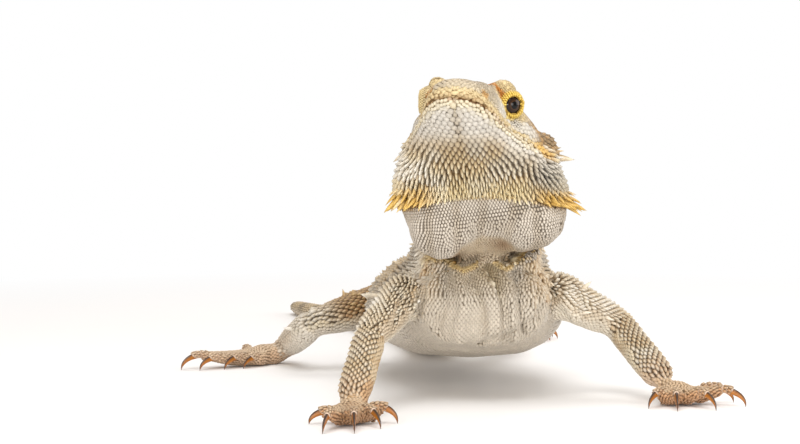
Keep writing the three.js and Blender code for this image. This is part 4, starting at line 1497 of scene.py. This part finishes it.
def make_claw(node):
    """A curved claw that grows out of its toe and tapers to a point on the floor."""
    points, tints = [], []
    upper = np.sin(CLAW_TURN)
    for share in np.linspace(0, 1, CLAW_RINGS):
        middle, beside, crown, _ = claw_frame(node, share, CLAW_START * MM)
        half_up = (1.15 * (1 - share**2.2) + 0.05) * MM
        half_side = (0.8 * (1 - share**2) + 0.05) * MM
        ring = middle + np.cos(CLAW_TURN) * beside * half_side * (1 - 0.25 * upper) + upper * crown * half_up
        points.append(over_floor(ring))
        ridge = ramp(0.3, 0.75, upper[:, 0]) * 0.97
        tints.append(mixed(AMBER, CLAW_DARK, np.maximum(ridge, 0.7 * ramp(0.7, 1, share))))
    faces = tube_faces(CLAW_SIDES, CLAW_RINGS)
    mesh = bpy.data.meshes.new(f"horn_{node}")
    mesh.from_pydata(np.concatenate(points).tolist(), [], faces)
    mesh.polygons.foreach_set("use_smooth", np.ones(len(faces), bool))
    paint(mesh, np.concatenate(tints))
    claw = new_piece(f"horn_{node}", mesh, CLAW)
    edit(claw, bpy.ops.mesh.normals_make_consistent, inside=False)
    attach(claw, "root")
    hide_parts(node)


# ---------------------------------------------------------------- the coat
PIECES = {
    "scales_head": ("lid", "lip", "crown"),
    "scales_throat": ("chin", "throat", "pouch"),
    "scales_neck": ("neck", "fold"),
    "scales_breast": ("chest",),
    "scales_belly": ("belly",),
    "scales_back": ("back",),
    "scales_tail": ("tail",),
    "scales_legs": LIMB_PARTS,
    "scales_paws": ("toe", "paw"),
}
PATCH = 0.0028  # a scale's width on its bake map
GUTTER = 2.5  # between the sheets on a bake map, in millimetres


def map_places(roots):
    """Where each root lies on an unwrap of the skin: each sheet of rows laid flat, sheets side by side."""
    places = np.zeros((len(roots["point"]), 2))
    for names in PIECES.values():
        chosen = of_kind(roots, *names)
        offset, longest = 0.0, 0.0
        for which in np.unique(roots["which"][chosen]):
            mine = roots["which"] == which
            strip = roots["strip"][mine]
            strip = strip - strip.min(0)
            places[mine] = strip + (0, offset)
            offset += strip[:, 1].max() + GUTTER
            longest = max(longest, strip[:, 0].max())
        places[chosen] = places[chosen] / (longest + GUTTER, offset) * 0.99 + 0.003
    return places


def stand(local, roots, *axes):
    """Bodies in the frame, above the floor, from their corners along three axes at their roots."""
    return over_floor(roots["point"][:, None] + np.einsum("nki,nij->nkj", local, np.stack(axes, 1)) * MM)


def make_scales(roots):
    """The scales: their tips take the tip colour, and the edge colour reaches in from their rims."""
    shape = shape_of(roots)
    jitter = lambda spread: 1 + spread * (chance.random(len(shape)) - 0.5)
    for column, spread in enumerate((0.1, 0.12, 0.3)):
        shape[:, column] *= jitter(spread)
    local, (width, length) = scale_points(roots, shape)
    across = np.cross(roots["lie"], roots["normal"])
    points = stand(local, roots, across, roots["lie"], roots["normal"])
    base, edge, tip = markings(roots["point"], roots["normal"], roots["owner"])
    base = base * jitter(0.16)[:, None]
    # the shares of edge and tip colour at a scale's rim, shoulder and top
    none = 0 * TURN
    rim = np.concatenate([0.9 + none, none, [0.0]])
    inner = 0.35 + 0.65 * np.maximum(np.abs(np.sin(TURN)), 0.5 - 0.5 * np.cos(TURN))
    border = np.concatenate([none, inner, [0.2]])
    ahead = np.maximum(np.cos(TURN), 0)
    tip_share = np.concatenate([ahead**2, 0.7 * ahead, [0.15]])
    tints = mixed(base[:, None], edge[:, None], rim + border * shape[:, 7:8])
    tints = mixed(tints, tip[:, None], tip_share * np.clip(shape[:, 4:5] * 1.2, 0, 1))
    uv = map_places(roots)[:, None] + np.stack([local[..., 0] / width, local[..., 1] / length], -1) * PATCH
    faces = scale_faces()
    for name, kinds in PIECES.items():
        chosen = of_kind(roots, *kinds)
        piece = joined_mesh(name, points[chosen], faces, tints[chosen], uv[chosen], HORN)
        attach(piece, "root")


def spine_roots(starts, aims, lean, share):
    """Roots of spines where rays from inside meet the skin, with their lean and their place in the row."""
    far, faces = cast(starts, aims)
    met = faces >= 0
    return {
        "point": (starts + aims * far[:, None])[met],
        "normal": face_normals(faces[met]),
        "owner": FACE_OWNER[faces[met]],
        "lean": np.broadcast_to(lean, aims.shape)[met],
        "share": share[met],
    }


def spine_row(line, shares, angles, front=(0, 0, 1)):
    """Roots of a row of spines, cast out from a line at shares of its length and angles from its front."""
    last = len(line) - 1
    at = shares * last
    step = at.astype(int)
    axes = unit(line[np.minimum(step + 1, last)] - line[np.maximum(step - 1, 0)])
    first = unit(front - (axes @ front)[:, None] * axes)
    turn = np.radians(np.broadcast_to(angles, len(shares)))[:, None]
    aims = np.cos(turn) * first + np.sin(turn) * np.cross(axes, first)
    starts = between(at, np.arange(last + 1), line)
    return spine_roots(starts, aims, axes, np.linspace(0, 1, len(shares)))


def head_spines(way):
    """Clusters of spines at the corner of the jaw, over the ear and across the back of the head."""
    spots = np.array([
        (forward + a, left + 0.4 * b, up + b)
        for forward, left, up in ((-3, 25, 4), (-7, 23, 7), (-9, 19, 10), (-10, 10, 11), (-10, 4, 11.5))
        for a, b in ((0, 0), (2.6, -1.3), (-2.3, -1.6), (0.4, 2.7))
    ])
    start = np.array([0, 0, 2])
    aims = unit(spots * [1, way, 1] - start) @ HEAD
    return spine_roots(from_head(start), aims, -HEAD[0], (np.arange(len(aims)) % 4 > 0).astype(float))


def spine_groups():
    """Every row of spines: roots, lengths, radius as a share of the length, and how far it stands off."""
    throat = smooth_line([(26, 22, 76), (26, 22, 60)])
    groups = []
    # the fringe: how far its rows lie over the lowest one, how many spines, the shortest and longest, and
    # how far they stand off
    for over, count, low, high, out in (
        (1.0, 54, 2.6, 7.4, 0.6), (2.6, 56, 2.6, 5.8, 0.58),
        (4.2, 58, 2.4, 4.4, 0.56), (0.0, 48, 1.8, 6.4, 0.66),
    ):
        turns = np.linspace(-128, 128, count)
        x = THROAT_MIDDLE + 28 * np.sin(np.radians(turns))
        row = spine_row(throat, (76 - fringe_height(x) - over) / 16, turns, (0, -1, 0))
        aside = np.abs(np.sin(np.radians(256 * (row["share"] - 0.5)))) ** 4
        groups.append((row, low + (high - low) * aside, 0.14, out + 0.15 * aside))
    body, neck, tail = (smooth_line(AXES[name]) for name in ("trunk", "neck", "tail"))
    nape = smooth_line([(26, 44, 55), (26.5, 45, 38)])
    up, ahead = (0, 0, 1), (0, -1, 0)
    # of each line: its reach, the front side, how far its spines stand off and how much shorter the last ones
    # are; and of each of its rows: how many spines, at what angle, and how long
    for way in (-1, 1):
        row = head_spines(way)
        groups.append((row, 5.6 - 2.4 * row["share"], 0.2, 0.9))
        for line, span, front, out, taper, rows in (
            (body, (0.22, 0.93), up, 0.7, 0, ((15, 84, 4.6), (17, 97, 4.0), (13, 70, 2.8))),
            (neck, (0.35, 0.98), up, 0.7, 0, ((8, 60, 3.0), (8, 80, 3.4), (8, 100, 3.0))),
            (nape, (0.02, 0.95), ahead, 0.55, 0, ((7, 62, 2.8), (7, 76, 3.3), (7, 90, 3.4), (7, 104, 3.2))),
            (tail, (0.02, 0.45), up, 0.6, 1.8, ((18, 75, 3.4),)),
        ):
            for count, angle, length in rows:
                row = spine_row(line, np.linspace(*span, count), way * angle, front)
                groups.append((row, length - taper * row["share"], 0.2, out))
    return groups


def make_spines():
    points, tints, uv = [], [], []
    for number, (row, length, girth, out) in enumerate(spine_groups()):
        count = len(row["point"])
        length = length * (0.85 + 0.3 * chance.random(count))
        out = np.broadcast_to(out, count)[:, None]
        stray = 0.25 * (chance.random((count, 3)) - 0.5)
        aim = unit(row["normal"] * out + row["lean"] * (1 - out) * 1.4 + stray)
        beside = unit(np.cross(row["lean"], aim))
        local = thorn_points(length, length * girth, 0.12 * length) - [0, 0, 0.4]
        points.append(stand(local, row, beside, np.cross(aim, beside), aim))
        base, edge, tip = markings(row["point"], row["normal"], row["owner"])
        along_it = np.clip(local[..., 2] / length[:, None], 0, 1)
        tints.append(mixed(mixed(edge, base, 0.7)[:, None], tip[:, None], along_it**0.6))
        places = np.stack([row["share"] * 0.98 + 0.01, np.full(count, (number + 0.5) / 40)], -1)
        uv.append(places[:, None] + local[..., :2] / 3 * PATCH)
    faces = tube_faces(THORN_SIDES, len(THORN_RINGS), pointed=True)
    points, tints, uv = (np.concatenate(rows) for rows in (points, tints, uv))
    piece = joined_mesh("spines", points, faces, tints, uv, HORN)
    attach(piece, "root")


roots = settle(comb(fill(gather(all_sheets()))))
roots = settle(fill(roots))
clear = ~bare_spot(roots["point"])
CLAW_NODES = sorted(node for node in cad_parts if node.startswith("claw_"))
roots = joined({name: values[clear] for name, values in roots.items()}, sheath_roots(CLAW_NODES))
make_scales(roots)
make_spines()
# The skin shows only in the gaps between the scales. It takes mostly their edge colour and is darkened by its
# material's tone: partly its own darker colour and partly painted shade in the gaps.
base, edge, _ = markings(SKIN_POINTS, SKIN_NORMALS, SKIN_OWNERS)
paint(skin.data, mixed(base, edge, 0.8))
skin.data.materials.clear()
skin.data.materials.append(HIDE)
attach(skin, "root")
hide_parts(*FLESH)
for way in (-1, 1):
    make_eye(way)
for node in CLAW_NODES:
    make_claw(node)
make_sheaths(CLAW_NODES)


# ---------------------------------------------------------------- floor, light and camera
WHITE = {"Color": (1, 1, 1, 1), "Strength": 1.0}
PAPER = (*colour("f4f4f4"), 1)
WARM = {"Color": (*colour("fff6ee"), 1), "Strength": 0.55}
FADE = {"From Min": 0.2, "From Max": 0.45}  # metres from the middle, over which the floor fades to white
# Where the lamps stand, in the animal's own millimetres, their size in metres and their power in watts.
LAMPS = (
    ("overhead", (0, -330, 780), 0.6, 4.0),
    ("front_left", (-420, -850, 240), 0.4, 2.8),
    ("front_right", (520, -850, 220), 0.4, 2.7),
    ("catchlight", (-20, -880, 150), 0.12, 0.7),
    ("side", (650, 120, 260), 0.4, 1.3),
    ("back", (100, 600, 700), 0.6, 2.0),
)
LIT = (25, 60, 40)  # what the lamps are turned to
CAMERA_AT = (0, -812, 107)
CAMERA_DOWN = 3.24  # degrees below the level
LENS, SENSOR = 117, 36  # millimetres


def stage_material():
    """Plain matt paper that fades to white away from the animal."""
    material, tree = bare_material("white_paper")
    paper = new_node(tree, "BsdfPrincipled", {"Base Color": PAPER, "Roughness": 0.95})
    where = new_node(tree, "TexCoord").outputs["Object"]
    away = new_node(tree, "VectorMath", {0: where}, operation="LENGTH").outputs["Value"]
    far = new_node(tree, "MapRange", {"Value": away, **FADE})
    share = new_node(tree, "Math", {0: far, 1: new_node(tree, "LightPath")}, operation="MULTIPLY")
    either = new_node(tree, "MixShader", {"Fac": share, 1: paper, 2: new_node(tree, "Emission", WHITE)})
    new_node(tree, "OutputMaterial", {"Surface": either})
    return material


def make_stage():
    """The floor, the lamps, and a warm surround that the camera sees as white."""
    bpy.ops.object.select_all(action="DESELECT")
    bpy.ops.mesh.primitive_plane_add(size=8)
    floor = bpy.context.object
    floor.name = "floor"
    floor.data.materials.append(stage_material())
    world = bpy.data.worlds.new("studio")
    bpy.context.scene.world = world
    world.use_nodes = True
    tree = world.node_tree
    tree.nodes.clear()
    warm, white = new_node(tree, "Background", WARM), new_node(tree, "Background", WHITE)
    either = new_node(tree, "MixShader", {"Fac": new_node(tree, "LightPath"), 1: warm, 2: white})
    new_node(tree, "OutputWorld", {"Surface": either})
    for name, at, size, power in LAMPS:
        lamp = bpy.data.lights.new(name, "AREA")
        lamp.size = size
        lamp.energy = power
        light = bpy.data.objects.new(name, lamp)
        light.location = place(at)
        light.rotation_euler = Vector(place(LIT) - place(at)).to_track_quat("-Z", "Y").to_euler()
        bpy.context.collection.objects.link(light)


def make_camera():
    """Level with the head and straight ahead, looking a little down, through a long lens."""
    camera = bpy.data.objects.new("camera", bpy.data.cameras.new("camera"))
    camera.data.lens = LENS
    camera.data.sensor_width = SENSOR
    camera.data.clip_start = 0.05
    camera.location = place(CAMERA_AT)
    camera.rotation_euler = (math.radians(90 - CAMERA_DOWN), 0, 0)
    bpy.context.collection.objects.link(camera)
    bpy.context.scene.camera = camera


make_stage()
make_camera()
bpy.context.scene.view_settings.view_transform = "Standard"
